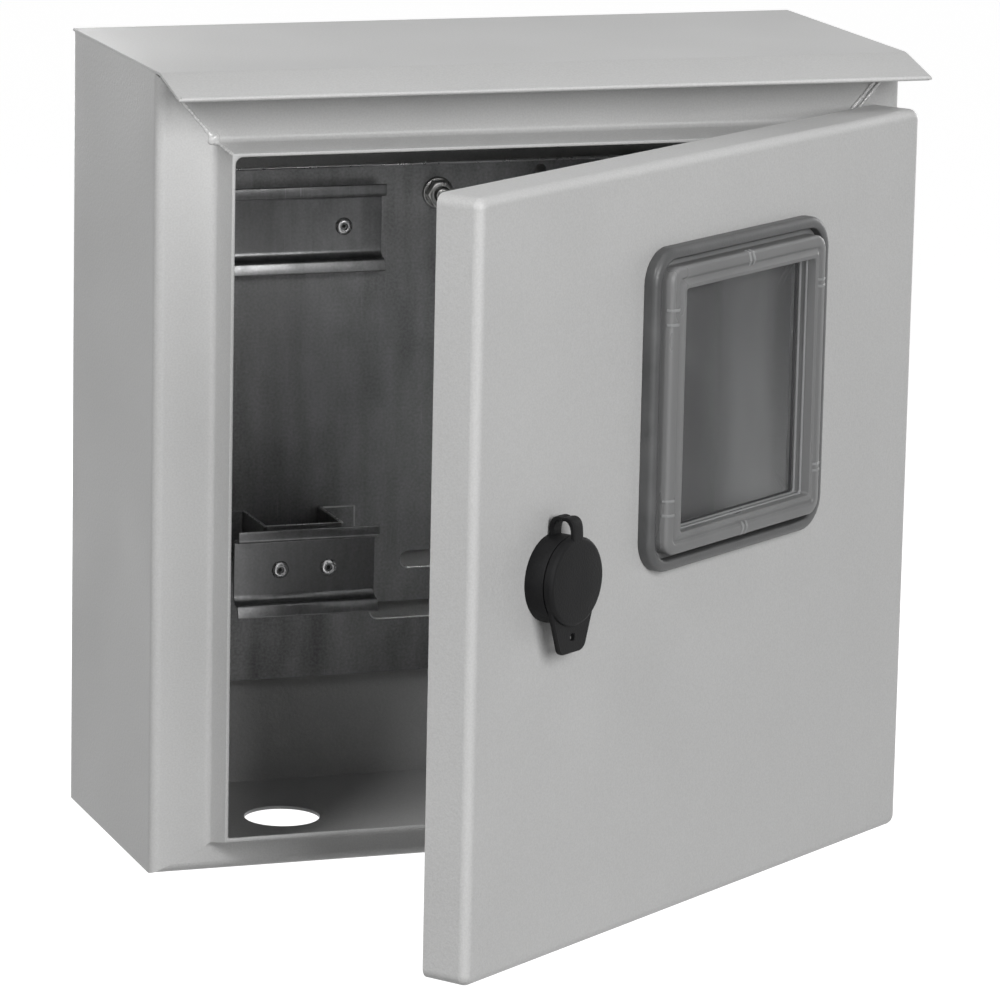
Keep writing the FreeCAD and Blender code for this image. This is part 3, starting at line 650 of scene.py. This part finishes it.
windowValues = {
    "centre": (17.58, 42.7),
    "half": (58.5, 60.5),
    "corner": 13.0,
    "leastCorner": 1.2,
    "cornerSteps": 10,
    "sealWidth": 4.5,
    "sealHeight": 5.5,
    "sealRadii": (0.3, 2.3, 1.3, 0.8, 1.1, 0.2, 0.1, 0.1),
    "sheetThickness": 1.2,
    "grooveDepth": 3.0,
    "rearLip": 2.5,
    "rearLipIn": 0.6,
    "trayGap": 0.05,
    "ledge": 2.2,
    "ledgeHeight": 2.2,
    "stepHeight": 6.5,
    "bead": (3.9, 8.1, 8.6),
    "groove": (4.8, 7.5),
    "crownIn": 9.0,
    "crownHeight": 9.0,
    "wellIn": 10.5,
    "wall": 1.9,
    "pane": 2.5,
    "paneRows": (38.0, 30.0, 20.0, 10.0, 0.2),
    "paneEdge": 0.2,
    "skirt": 4.2,
    "outerRadii": (0.2, 0.5, 0.2, 1.5, 1.0, 0.5, 0.5, 0.5, 0.1),
    "innerRadii": (0.1, 0.3, 0.3, 0.3, 0.3, 0.2),
    "catchOffset": 35.5,
    "ribWidth": 1.1,
    "ribRise": 0.45,
    "ribBends": (0.15 - 2.2j, 0.5 - 0.5j, -0.6 + 0.0j, 0.5 - 0.5j, 0.6 - 0.1j),
    "ribSteps": 33,
    "ribSoft": 0.2,
    "ribsApart": (5.4, 2.4, 2.6),
    "wallRidges": (1.8, 4.6),
    "ridgeRadius": 0.55,
    "jointIn": 0.1,
    "jointRadius": 0.55,
}


def windowGrid(profile):
    # Section carried round the window: each of its points (inset + i out) is a rounded rectangle
    v = windowValues
    rings = rectangleRings(v["half"], v["corner"], profile.real, v["leastCorner"], v["cornerSteps"])
    return onDoor(rings + complex(*v["centre"]), profile.imag[:, None])


def makeWindowSeal(materials):
    # Rubber section with a groove that holds the edge of the door's sheet
    v = windowValues
    width, height, sheet, lip = v["sealWidth"], v["sealHeight"], v["sheetThickness"], v["rearLipIn"]
    back = -sheet - v["rearLip"]
    corners = np.array([0, 1j * height, width + 1j * height, width + 1j * back, lip + 1j * back,
                        lip - 1j * sheet, v["grooveDepth"] - 1j * sheet, v["grooveDepth"] + 0j])
    grid = windowGrid(roundCorners(corners, v["sealRadii"], 7))
    makePiece("windowSeal", [(grid, True)], "door", materials["sealRubber"], ["window_seal"])


def windowRib(way, place):
    # A catch over the frame's bead: a rounded section stands on a path of inset + i out, which turns
    # at ribBends off the bead's near edge, its top and the groove. way takes it to its side of the
    # window (1 right, i top, -1 left, -i bottom)
    v = windowValues
    across, near, far = v["bead"]
    top = across + 1j * far
    turns = np.array([1j * near, 1j * near, top, top, complex(*v["groove"])]) + v["ribBends"]
    turns = turns + v["sealWidth"] + v["trayGap"] + v["ledge"]
    share = np.linspace(0.0, len(turns) - 1.0, v["ribSteps"])
    path = np.interp(share, np.arange(len(turns)), turns)
    normal = 1j * np.gradient(path)
    normal = normal / np.abs(normal)
    section = softSquare(v["ribSoft"])
    place = place + section.real * v["ribWidth"]
    line = path[:, None] + normal[:, None] * section.imag * 2 * v["ribRise"]
    half = v["half"][0] if way in (1, -1) else v["half"][1]
    return onDoor(complex(*v["centre"]) + way * (half - line.real + 1j * place), line.imag)


def makeWindowTray(materials):
    # Clear tray: a stepped frame, the pane in its well, the catches, ridges down the well's wall and
    # the dark joint round the pane
    v = windowValues
    skirt = v["sealWidth"] + v["trayGap"]
    step = skirt + v["ledge"]
    crown = skirt + v["crownIn"]
    well = skirt + v["wellIn"]
    wall = v["wall"]
    outside = [skirt - 1j * v["skirt"], skirt + 1j * v["ledgeHeight"], step + 1j * v["ledgeHeight"],
               step + 1j * v["bead"][1], step + v["bead"][0] + 1j * v["bead"][2],
               step + v["groove"][0] + 1j * v["groove"][1], crown + 1j * v["crownHeight"],
               well + 1j * v["crownHeight"], well - 1j * v["pane"]]
    inside = [well - wall - 1j * v["pane"], well - wall + 1j * (v["stepHeight"] - wall),
              step + wall + 1j * (v["stepHeight"] - wall), step + wall + 1j * (v["ledgeHeight"] - wall),
              skirt + wall + 1j * (v["ledgeHeight"] - wall), skirt + wall - 1j * v["skirt"]]
    frameGrid = windowGrid(roundCorners(outside + inside, v["outerRadii"] + v["innerRadii"], 5))
    makePiece("windowFrame", [(frameGrid, True)], "door", materials["milkyFrame"], ["window_pane"])
    inset = well + v["trayGap"]
    rows = inset + np.array(v["paneRows"])
    rim = [inset - 1j * v["paneEdge"], inset - 1j * (v["pane"] - v["paneEdge"])]
    paneProfile = np.concatenate([rows, rim, rows[::-1] - 1j * v["pane"]])
    ribs = []
    for way, apart in ((-1, v["ribsApart"][0]), (1, v["ribsApart"][1])):
        for place in (-v["catchOffset"], v["catchOffset"]):
            ribs += [(windowRib(way, place + side * apart / 2), False) for side in (-1, 1)]
    for way in (1j, -1j):
        ribs += [(windowRib(way, side * v["ribsApart"][2] / 2), False) for side in (-1, 1)]
    circle = np.exp(1j * ringAngles(12))
    for out in v["wallRidges"]:
        ribs.append((windowGrid(well + 1j * out + v["ridgeRadius"] * circle), True))
    joint = windowGrid(well + v["jointIn"] + v["jointRadius"] * circle)
    makePiece("windowJoint", [(joint, True)], "door", materials["gasketFoam"], ["window_pane"])
    # The ribs' material is lighter than the frame: a painted highlight along the catches and ridges
    makePiece("windowRibs", ribs, "door", materials["frostedRibHighlight"], ["window_pane"])
    makePiece("windowPane", [(windowGrid(paneProfile), False)], "door", materials["clearPane"],
              ["window_pane"])


# Lock: threaded housing and its nut

threadValues = {
    "rowsPerTurn": 8,
    "fadedDepth": 0.15,
}


def screwThread(radius, depth, pitch, first, last, count):
    # Thread: the radius falls by depth times the triangle wave of (length / pitch - angle / turn),
    # and fades out over the last pitch at each end
    v = threadValues
    angle = ringAngles(count)
    length = np.linspace(first, last, int(abs(last - first) / pitch * v["rowsPerTurn"]) + 1)
    phase = np.mod(length[:, None] / pitch - angle / (2 * np.pi), 1.0)
    fade = np.clip(np.minimum(np.abs(length - first), np.abs(length - last)) / pitch, 0.0, 1.0)[:, None]
    fall = depth * (v["fadedDepth"] * (1 - fade) + fade * np.abs(2 * phase - 1))
    return (radius - fall) * np.exp(1j * angle), np.broadcast_to(length[:, None], phase.shape)


nutValues = {
    "boreGap": 0.05,
    "chamferCircle": 0.985,
    "chamferAngle": 30.0,
}


def hexNut(size, thickness, screwRadius, chamfer, count):
    # Nut: its rows run from the bore round the hexagon, size / 2 / cos(angle from the flat's middle),
    # whose edge drops by tan 30 of what stands outside the chamfer circle
    v = nutValues
    angle = ringAngles(count)
    rim = size / 2 / np.cos(np.mod(angle, np.pi / 3) - np.pi / 6)
    circle = np.full(count, size / 2 * v["chamferCircle"])
    drop = np.maximum(rim - circle, 0.0) * math.tan(math.radians(v["chamferAngle"]))
    bore = np.full(count, screwRadius + v["boreGap"])
    low, high = np.zeros(count), np.full(count, thickness)
    radii = np.stack([bore, bore, bore + chamfer, circle, rim, rim, circle, bore + chamfer])
    lengths = np.stack([low + chamfer, high - chamfer, high, high, high - drop, low + drop, low, low])
    return radii * np.exp(1j * angle), lengths


lockValues = {
    "centre": (-95.8, -8.5),
    "housingRadius": 9.0,
    "headRadius": 11.8,
    "headFront": 5.5,
    "headBack": 1.5,
    "frontSoft": 0.6,
    "backSoft": 0.3,
    "length": 24.0,
    "pitch": 1.5,
    "threadDepth": 0.75,
    "bore": 7.0,
    "boreSoft": 0.4,
    "boreDepth": 3.0,
    "rearBore": 5.06,
    "nutSize": 26.0,
    "nutThickness": 4.5,
    "nutChamfer": 0.6,
}


def makeLock(materials):
    # Housing: head, thread and bore are turned rows of one closed grid
    v = lockValues
    centre = complex(*v["centre"])
    thread, along = screwThread(v["housingRadius"], v["threadDepth"], v["pitch"], -v["headBack"],
                                -v["length"], 64)
    headRadii = [v["bore"], v["bore"], v["bore"] + v["boreSoft"], v["headRadius"] - v["frontSoft"],
                 v["headRadius"], v["headRadius"], v["headRadius"] - v["backSoft"]]
    headLengths = [-v["boreDepth"], v["headFront"] - v["boreSoft"], v["headFront"], v["headFront"],
                   v["headFront"] - v["frontSoft"], v["headBack"] + v["backSoft"], v["headBack"]]
    head, headAlong = roundSweep(headRadii, headLengths, 64, 0)
    tail, tailAlong = roundSweep([v["rearBore"], v["rearBore"]], [-v["length"], -v["boreDepth"]], 64, 0)
    rings = np.vstack([head, thread, tail]) + centre
    outs = np.vstack([headAlong, along, tailAlong])
    makePiece("lockHousing", [(onDoor(rings, outs), True)], "door", materials["chromedLock"],
              ["lock_housing"])
    nut, nutAlong = hexNut(v["nutSize"], v["nutThickness"], v["housingRadius"], v["nutChamfer"], 96)
    outs = -windowValues["sheetThickness"] - v["nutThickness"] + nutAlong
    makePiece("lockNut", [(onDoor(nut + centre, outs), True)], "door", materials["platedSteel"],
              ["lock_nut"])


# Dust cap over the lock: cup, lid with its pull tab, and the strap that joins them

capValues = {
    "radius": 16.3,
    "cupHeight": 8.0,
    "cupWall": 3.4,
    "cupFloor": 1.5,
    "cupSoft": 0.4,
    "cupRound": (0.15, 0.6),
    "stemHole": 9.3,
    "lidFrom": 8.3,
    "lidTo": 12.0,
    "lidSoft": 0.3,
    "lidRound": 1.5,
    "lidMiddle": 4.0,
    "skirtRadius": 12.3,
    "skirtWall": 1.4,
    "skirtDepth": 1.3,
    "tabThickness": 2.0,
    "tabRoot": 2.0,
    "tabDrop": 26.4,
    "tabEnd": 15.2,
    "tabRadii": (0.5, 3.0, 4.0, 4.0, 3.0),
    "tabSoft": 0.5,
    "tabLean": 5.0,
    "tabHoleRadius": 1.5,
    "tabHoleIn": 5.8,
    "tabHoleSoft": 0.3,
    "strapWidth": 6.0,
    "strapMiddle": 6.3,
    "strapFoot": 14.6,
    "strapTop": 23.1,
    "strapSpread": 4.8,
    "strapThick": 1.6,
    "strapFold": 1.3,
    "strapShoulder": (0.5, 0.62, 0.2),
    "strapSoft": 0.14,
    "strapDip": 0.7,
    "strapGap": 0.3,
}


def strapArm(side):
    # One arm of the strap. Its middle line keeps out as 1 - s^3 while it climbs as 1 - (1 - s)^1.8,
    # dips by s^10 at the fold and is thickest at the shoulder
    v = capValues
    centre = lockValues["centre"]
    s = np.linspace(0.0, 1.0, 26)
    tip = v["strapGap"] / 2
    out = tip + (v["strapSpread"] - tip) * (1 - s ** 3)
    up = v["strapFoot"] + (v["strapTop"] - v["strapFoot"]) * (1 - (1 - s) ** 1.8) - v["strapDip"] * s ** 10
    line = out + 1j * up
    along = np.gradient(line)
    normal = 1j * along / np.abs(along)
    more, peak, wide = v["strapShoulder"]
    thick = v["strapThick"] + (v["strapFold"] - v["strapThick"]) * s ** 4
    thick = thick + more * np.exp(-((s - peak) / wide) ** 2)
    section = softSquare(v["strapSoft"])
    place = line[:, None] + normal[:, None] * section.real * thick[:, None]
    across = centre[0] + section.imag * v["strapWidth"] + 1j * (centre[1] + place.imag)
    return onDoor(across, v["strapMiddle"] + side * np.maximum(place.real, tip))


def pullTab():
    # Rows run from the hole out to the outline and back below it. The hole's ring is the outline
    # drawn in to the hole's radius, and the soft edge is the outline moved inwards along its normal.
    v = capValues
    lean = math.radians(v["tabLean"])
    start = v["radius"] * complex(math.cos(lean), -math.sin(lean))
    end = complex(v["tabEnd"] / 2, -v["tabDrop"])
    corners = [1j * v["tabRoot"], -start.conjugate(), -end.conjugate(), end, start]
    outline = roundCorners(corners, v["tabRadii"], 9)
    hole = 1j * (v["tabHoleIn"] - v["tabDrop"])
    ring = hole + v["tabHoleRadius"] * (outline - hole) / np.abs(outline - hole)
    inward = np.gradient(outline) * 1j
    inward = inward / np.maximum(np.abs(inward), 1e-9)
    inward = np.where(np.real(np.conj(inward) * (hole - outline)) > 0, inward, -inward)
    soft = outline + inward * v["tabSoft"]
    rim = ring + (ring - hole) / np.abs(ring - hole) * v["tabHoleSoft"]
    low, high, edge = v["lidFrom"], v["lidFrom"] + v["tabThickness"], v["tabHoleSoft"]
    rows = np.stack([ring, ring, rim, soft, outline, outline, soft, rim])
    heights = np.array([low + edge, high - edge, high, high, high - v["tabSoft"], low + edge, low, low])
    return onDoor(rows + complex(*lockValues["centre"]), heights[:, None])


def makeCap(materials):
    # Cup and lid are turned rows; the lid's edge is a quarter circle
    v = capValues
    centre = complex(*lockValues["centre"])
    radius, height, low, soft = v["radius"], v["cupHeight"], v["lidFrom"], v["cupSoft"]
    inner = radius - v["cupWall"]
    small, large = v["cupRound"]
    cupRadii = [v["stemHole"], inner - soft, inner, inner, inner + soft, radius - large, radius - small,
                radius, radius, v["stemHole"]]
    cupLengths = [v["cupFloor"], v["cupFloor"], v["cupFloor"] + soft, height - soft, height, height,
                  height - small, height - large, 0.0, 0.0]
    rings, outs = roundSweep(cupRadii, cupLengths, 96, centre)
    makePiece("capCup", [(onDoor(rings, outs), True), (strapArm(-1), False)], "door",
              materials["blackPlastic"], ["cap_base"])
    turn = np.linspace(0.0, np.pi / 2, 7)
    edgeRadii = radius - v["lidRound"] + v["lidRound"] * np.cos(turn)
    edgeLengths = v["lidTo"] - v["lidRound"] + v["lidRound"] * np.sin(turn)
    skirt, foot = v["skirtRadius"], low - v["skirtDepth"]
    radii = [skirt - v["skirtWall"], skirt - v["skirtWall"], skirt, skirt, radius - v["lidSoft"], radius,
             *edgeRadii, v["lidMiddle"]]
    lengths = [low, foot, foot, low, low, low + v["lidSoft"], *edgeLengths, v["lidTo"]]
    rings, outs = roundSweep(radii, lengths, 96, centre)
    makePiece("capLid", [(onDoor(rings, outs), False), (pullTab(), True), (strapArm(1), False)], "cap_lid",
              materials["blackPlastic"], ["cap_lid"])


# Rivets, studs and nuts in the cabinet

rivetValues = {
    "shankRadius": 1.6,
    "bulbRadius": 2.4,
    "bulbStep": 0.1,
    "bulb": 2.8,
    "bulbSoft": 0.8,
    "profile": ((0.3, -1.6), (1.15, -1.6), (1.2, 0.75), (1.35, 1.1), (1.7, 1.28), (2.2, 1.2), (2.8, 0.9),
                (3.3, 0.45), (3.5, 0.2), (3.45, 0.02), (1.6, 0.0)),
    "mandrel": ((0.3, 0.05), (0.75, 0.0), (0.95, -0.25), (1.1, -0.7), (1.1, -1.5)),
    "rows": {
        "upperRailRivets": {"places": (-99.9, -41.3), "height": 74.5, "face": -11.0, "grip": 2.5,
                            "node": "upper_rail_rivets"},
        "bracketRivets": {"places": (-89.0, -42.0), "height": -56.8, "face": -11.5, "grip": 3.0,
                          "node": "bracket_rivets"},
        "lowerRailRivets": {"places": (-75.5, -55.5), "height": -56.8, "face": -42.0, "grip": 2.5,
                            "node": "lower_rail_rivets"},
    },
}


def makeRivets(materials):
    # Turned rows of (radius, length): the profile runs over the head, and the bulb stands behind the grip
    v = rivetValues
    mandrelRows = np.array(v["mandrel"]).T
    mandrels = []
    for name, row in v["rows"].items():
        back, bulb, soft = -row["grip"], v["bulbRadius"], v["bulbSoft"]
        end = back - v["bulb"]
        shank = ((v["shankRadius"], back), (bulb, back - v["bulbStep"]), (bulb, end + soft),
                 (bulb - soft, end))
        rivetRows = np.array(v["profile"] + shank).T
        rivets = []
        for place in row["places"]:
            middle = complex(place, row["height"])
            rivets.append((onPanel(*roundSweep(*rivetRows, 40, middle), row["face"]), False))
            mandrels.append((onPanel(*roundSweep(*mandrelRows, 32, middle), row["face"]), False))
        makePiece(name, rivets, "cabinet", materials["rivetMetal"], [row["node"]], sharp=50.0)
    # The mandrels are near black: painted shade in the rivets' bores
    makePiece("rivetMandrels", mandrels, "cabinet", materials["mandrelShadeSteel"],
              [row["node"] for row in v["rows"].values()])


studValues = {
    "places": ((-2.0, 86.7), (-108.0, -97.3), (108.0, -97.3)),
    "panelFace": -10.0,
    "wallFace": -1.2,
    "radius": 3.0,
    "pitch": 1.0,
    "threadDepth": 0.5,
    "washer": 1.2,
    "washerProfile": ((3.4, 0.2), (3.6, 1.2), (5.75, 1.2), (6.1, 1.05), (6.3, 0.75), (6.3, 0.2), (6.1, 0.0),
                      (3.6, 0.0), (3.4, 0.1)),
    "nutSize": 10.0,
    "nutThickness": 5.0,
    "nutChamfer": 0.4,
    "proud": 2.2,
    "tipChamfer": 0.7,
}


def makeStuds(materials):
    # Threaded studs with a chamfered tip, their nuts, and washers turned from (radius, length) rows
    v = studValues
    last = v["washer"] + v["nutThickness"] + v["proud"]
    first = v["panelFace"] - v["wallFace"]
    washerRows = np.array(v["washerProfile"]).T
    studs = []
    nuts = []
    washers = []
    for place in v["places"]:
        rings, outs = screwThread(v["radius"], v["threadDepth"], v["pitch"], first, last, 32)
        tip, tipOut = roundSweep([v["radius"] - v["tipChamfer"]], [last], 32, 0)
        rings = np.vstack([rings[:-2], tip]) + complex(*place)
        outs = np.vstack([outs[:-2], tipOut])
        studs.append((onPanel(rings, outs, v["panelFace"]), False))
        nut, along = hexNut(v["nutSize"], v["nutThickness"], v["radius"], v["nutChamfer"], 72)
        nuts.append((onPanel(nut + complex(*place), v["washer"] + along, v["panelFace"]), True))
        washers.append((onPanel(*roundSweep(*washerRows, 64, complex(*place)), v["panelFace"]), True))
    makePiece("panelWashers", washers, "cabinet", materials["platedSteel"], ["panel_washers"])
    makePiece("panelStuds", studs, "cabinet", materials["platedSteel"], ["panel_studs"])
    makePiece("panelNuts", nuts, "cabinet", materials["platedSteel"], ["panel_nuts"])


# Foam gasket in the door

gasketValues = {
    "middle": -7.9,
    "half": (123.318, 132.218),
    "width": 10.0,
    "corner": 8.0,
    "leastCorner": 3.0,
    "from": -1.2,
    "to": -9.2,
    "shoulder": 0.35,
}


def makeGasket(materials):
    # Foam section: across it runs as -cos s, and it rises as shoulder + (1 - shoulder) sin(s)^0.7
    v = gasketValues
    wide = v["width"] / 2
    s = np.linspace(0.0, np.pi, 15)
    rise = (v["to"] - v["from"]) * (v["shoulder"] + (1 - v["shoulder"]) * np.sin(s) ** 0.7)
    crown = -wide * np.cos(s) + 1j * (v["from"] + rise)
    profile = np.concatenate([[-wide + 1j * v["from"]], crown, [wide + 1j * v["from"]]])
    rings = rectangleRings(v["half"], v["corner"], profile.real, v["leastCorner"], 8)
    grid = onDoor(rings + 1j * v["middle"], profile.imag[:, None])
    makePiece("doorGasket", [(grid, True)], "door", materials["gasketFoam"], ["door_gasket"])


# Sheets bent along a path: the roof with its visor, and the two rails

sheetValues = {
    "bendSteps": 9,
    "endTurns": (80.0, 60.0, 35.0, 0.0),
    "sideSoft": 0.2,
}


def bentSheet(corners, radii, thick, middle, length, seat):
    # Path of out + iz with rounded bends. Across each of its points stands an oblong of the sheet's
    # length and thickness, and at both ends it thins as the cosine, over half a thickness.
    v = sheetValues
    steps = v["bendSteps"]
    path = roundCorners(corners, radii, steps)[steps - 1:1 - steps]
    along = np.gradient(path)
    along = along / np.abs(along)
    r = abs(thick) / 2
    turn = np.radians(v["endTurns"])
    first = path[0] + along[0] * r * (1 - np.sin(turn))
    last = path[-1] - along[-1] * r * (1 - np.sin(turn[::-1]))
    scale = np.concatenate([np.cos(turn), np.ones(len(path) - 2), np.cos(turn[::-1])])
    path = np.concatenate([first, path[1:-1], last])
    along = np.concatenate([np.full(len(turn), along[0]), along[1:-1], np.full(len(turn), along[-1])])
    half = length / 2
    oblong = roundCorners([half - 1j * r, half + 1j * r, -half + 1j * r, -half - 1j * r], v["sideSoft"], 4)
    place = path[:, None] + 1j * along[:, None] * (thick / 2 + oblong.imag * scale[:, None])
    across = np.broadcast_to(middle + oblong.real, place.shape)
    return np.stack([across, seat - place.real, place.imag], axis=-1)


def edgeBead(places, radius):
    # Round bead along a line of points p in space: p + radius (a cos t + b sin t), a and b across it
    places = np.array(places, dtype=float)
    along = np.gradient(places, axis=0)
    along = along / np.linalg.norm(along, axis=1)[:, None]
    a = np.cross(along, [1.0, 1.0, 1.0])
    a = a / np.linalg.norm(a, axis=1)[:, None]
    b = np.cross(along, a)
    angle = ringAngles(14)[:, None]
    return places[:, None] + radius * (a[:, None] * np.cos(angle) + b[:, None] * np.sin(angle))


roofValues = {
    "corners": (0.0 + 153.8j, 124.0 + 153.8j, 150.0 + 147.6j),
    "bend": 14.0,
    "sheet": 1.2,
    "width": 300.0,
    "hem": (148.95, -149.3, 148.45),
    "hemRadius": 1.0,
}


def makeRoof(materials):
    # Sheet bent down at the visor, with the round hem of its front edge
    v = roofValues
    grid = bentSheet(v["corners"], (0.0, v["bend"], 0.0), v["sheet"], 0.0, v["width"], 0.0)
    x, y, z = v["hem"]
    hem = edgeBead([(-x, y, z), (0, y, z), (x, y, z)], v["hemRadius"])
    makePiece("roofSheet", [(grid, False), (hem, False)], "cabinet", materials["powderCoat"],
              ["roof_visor"])


railValues = {
    "halfWidth": 17.5,
    "halfChannel": 12.5,
    "depth": 7.5,
    "sheet": 1.0,
    "lean": 1.5,
    "bend": 1.5,
    "lowBend": 3.4,
    "rows": {
        "upperRail": {"middle": -70.6, "height": 74.5, "seat": -10.0, "length": 90.0,
                      "node": "upper_rail"},
        "lowerRail": {"middle": -65.5, "height": -56.8, "seat": -41.0, "length": 58.0,
                      "node": "lower_rail"},
    },
}


def makeRails(materials):
    # Top-hat section of out + iz: lip, flank, web, flank and lip
    v = railValues
    lip, web, bend = v["depth"], v["sheet"], v["bend"]
    edge, side = 1j * v["halfWidth"], 1j * v["halfChannel"]
    corners = np.array([lip + edge, lip + side, web + side, web - side, lip - v["lean"] - side, lip - edge])
    radii = (0.0, bend, bend, v["lowBend"], bend, 0.0)
    for name, row in v["rows"].items():
        grid = bentSheet(corners + 1j * row["height"], radii, -v["sheet"], row["middle"], row["length"],
                         row["seat"])
        makePiece(name, [(grid, False)], "cabinet", materials["railZinc"], [row["node"]])


# Bright beads laid along edges that catch light: painted highlights
edgeHighlightValues = {
    "panelTop": ((-119.2, -10.05, 98.6), (119.2, -10.05, 98.6)),
    "slots": ((22.5, -63.0, 37.5), (22.5, -83.6, 50.0)),
    "slotHalf": 3.5,
    "slotFace": -10.0,
    "foot": ((-48.6, -11.35, -39.5), (-35.3, -11.35, -39.5), (-35.3, -11.35, -74.1)),
    "legs": ((-49.4, -81.6), (-11.2, -40.2), -39.45),
    "radius": 0.42,
    "topRadius": 0.57,
}


def makeEdgeHighlights(materials):
    # Painted highlights: bright metal beads along the panel's top, the lower half of each slot, and the
    # bracket's foot and legs, where these edges catch light
    v = edgeHighlightValues
    first, last = v["panelTop"]
    beads = [edgeBead([first, (0.0, *first[1:]), last], v["topRadius"])]
    arc = v["slotHalf"] * np.exp(1j * np.linspace(np.pi, 1.5 * np.pi, 10))
    for x, z, half in v["slots"]:
        left = x + 1j * z - (half - v["slotHalf"]) + arc
        right = 2 * x - left.real[::-1] + 1j * left.imag[::-1]
        beads.append(edgeBead(onPanel(np.concatenate([left, right]), 0.0, v["slotFace"]), v["radius"]))
    beads.append(edgeBead(v["foot"], v["radius"]))
    (right, left), (rear, front), z = v["legs"]
    legs = [(right, rear, z), (right, front, z), (left, front, z), (left, rear, z)]
    beads.append(edgeBead(legs, v["radius"]))
    makePiece("edgeHighlights", [(bead, False) for bead in beads], "cabinet", materials["rivetMetal"],
              sharp=60.0)


# Cabinet front: paint-rounded edge of the rims, and the welds of their corners

rimValues = {
    "middle": -7.9,
    "half": (122.7, 131.6),
    "face": -132.0,
    "sheet": 1.24,
    "skin": 0.1,
    "outerDepth": 1.0,
    "innerDepth": 2.0,
    "cornerAbove": 3.2,
    "cornerBelow": 1.0,
    "cornerOut": 0.8,
    "round": 0.5,
}


def makeRimEdge(materials):
    # Section of inset + i out over the cut edge, carried round the opening. Its inner side turns the
    # corner on a wider arc than its outer side.
    v = rimValues
    near, far = v["skin"], -v["sheet"] - v["skin"]
    section = roundCorners([near + 1j * v["skin"], far + 1j * v["skin"], far - 1j * v["outerDepth"],
                            near - 1j * v["innerDepth"]], v["round"], 6)
    share = np.clip((section.real - far) / (near - far), 0.0, 1.0)
    inner = np.array([v["cornerAbove"], v["cornerAbove"], v["cornerBelow"], v["cornerBelow"]])
    radii = v["cornerOut"] + (inner - v["cornerOut"]) * share[:, None]
    inset = section.real[:, None]
    across = squareCorners.real * (v["half"][0] - inset)
    up = squareCorners.imag * (v["half"][1] - inset) + v["middle"]
    rings = roundCorners(across + 1j * up, radii, 9)
    grid = onPanel(rings, section.imag[:, None], v["face"])
    makePiece("rimEdge", [(grid, True)], "cabinet", materials["powderCoat"], sharp=50.0)


weldValues = {
    "outer": (148.4, 153.2),
    "bend": (126.95, 127.95),
    "front": (123.95, 124.95),
    "faces": (-120.0, -131.7),
    "pair": (1.25, 0.45),
    "radius": 0.72,
    "flat": 0.8,
    "least": 0.2,
    "ripple": 1.7,
    "swell": (0.12, 0.15),
    "dropPlace": -1.5,
    "dropLength": 2.4,
    "dropWide": 1.5,
    "dropHigh": 0.75,
    "dropLumps": 0.25,
    "firstSeed": 12,
}


def weldBead(places, seed):
    # Round bead along a bent seam: its radius swells by 1 + a sin(2 pi distance / ripple) + noise, and
    # a drop of metal, a lumpy Gaussian, sits before the seam's bend
    v = weldValues
    rng = np.random.default_rng(seed)
    places = np.array(places, dtype=float)
    lengths = np.concatenate([[0.0], np.cumsum(np.linalg.norm(np.diff(places, axis=0), axis=1))])
    distance = np.linspace(0.0, lengths[-1], 150)
    line = np.stack([np.interp(distance, lengths, places[:, k]) for k in range(3)], axis=-1)
    along = np.gradient(line, axis=0)
    along = along / np.linalg.norm(along, axis=1)[:, None]
    sideways = np.cross(along, [0.0, 1.0, 0.0])
    sideways = sideways / np.linalg.norm(sideways, axis=1)[:, None]
    outwards = np.cross(along, sideways)
    lumps = np.interp(distance, np.linspace(0, lengths[-1], 40), rng.normal(0, 1, 40))
    swell = 1 + v["swell"][0] * np.sin(2 * np.pi * distance / v["ripple"]) + v["swell"][1] * lumps
    fromDrop = (distance - lengths[1] - v["dropPlace"]) / v["dropLength"]
    drop = np.exp(-fromDrop ** 2) * (1 + v["dropLumps"] * lumps)
    wide = np.maximum(v["radius"] * swell + v["dropWide"] * drop, v["least"])[:, None, None]
    rise = np.maximum(v["radius"] * v["flat"] * swell + v["dropHigh"] * drop, v["least"])[:, None, None]
    angle = ringAngles(18)[:, None]
    return (line[:, None] + sideways[:, None] * wide * np.cos(angle)
            + outwards[:, None] * rise * np.sin(angle))


def makeWelds(materials):
    # Both upper corners, the right one with two runs side by side; the lower ones are ground smooth.
    # The beads take a glossier copy of the paint whose lighter colour is a painted highlight on the ridges.
    v = weldValues
    beads = []
    for side, runs in ((-1, (0.0,)), (1, (-1.0, 1.0))):
        for run in runs:
            aside, forward = run * v["pair"][0], abs(run) * v["pair"][1]
            seam = [(side * v["outer"][0] + aside, v["faces"][0] - forward, v["outer"][1]),
                    (side * v["bend"][0] + aside, v["faces"][0] - forward, v["bend"][1]),
                    (side * v["front"][0] + aside, v["faces"][1], v["front"][1])]
            beads.append((weldBead(seam, v["firstSeed"] + 2 * side + int(run)), False))
    makePiece("mitreWelds", beads, "cabinet", materials["pooledHighlightCoat"], sharp=80.0)


def makePieces(materials):
    makeWindowSeal(materials)
    makeWindowTray(materials)
    print("window made")
    makeLock(materials)
    makeCap(materials)
    print("lock and cap made")
    makeRivets(materials)
    makeStuds(materials)
    print("rivets, studs and nuts made")
    makeGasket(materials)
    makeRoof(materials)
    makeRails(materials)
    makeEdgeHighlights(materials)
    print("gasket, roof and rails made")
    makeRimEdge(materials)
    makeWelds(materials)
    print("rim edge and welds made")


makeCamera(cameraValues)
makeStudio(studioValues)
materials = makeMaterials()
paintNodes(materials)
makePieces(materials)
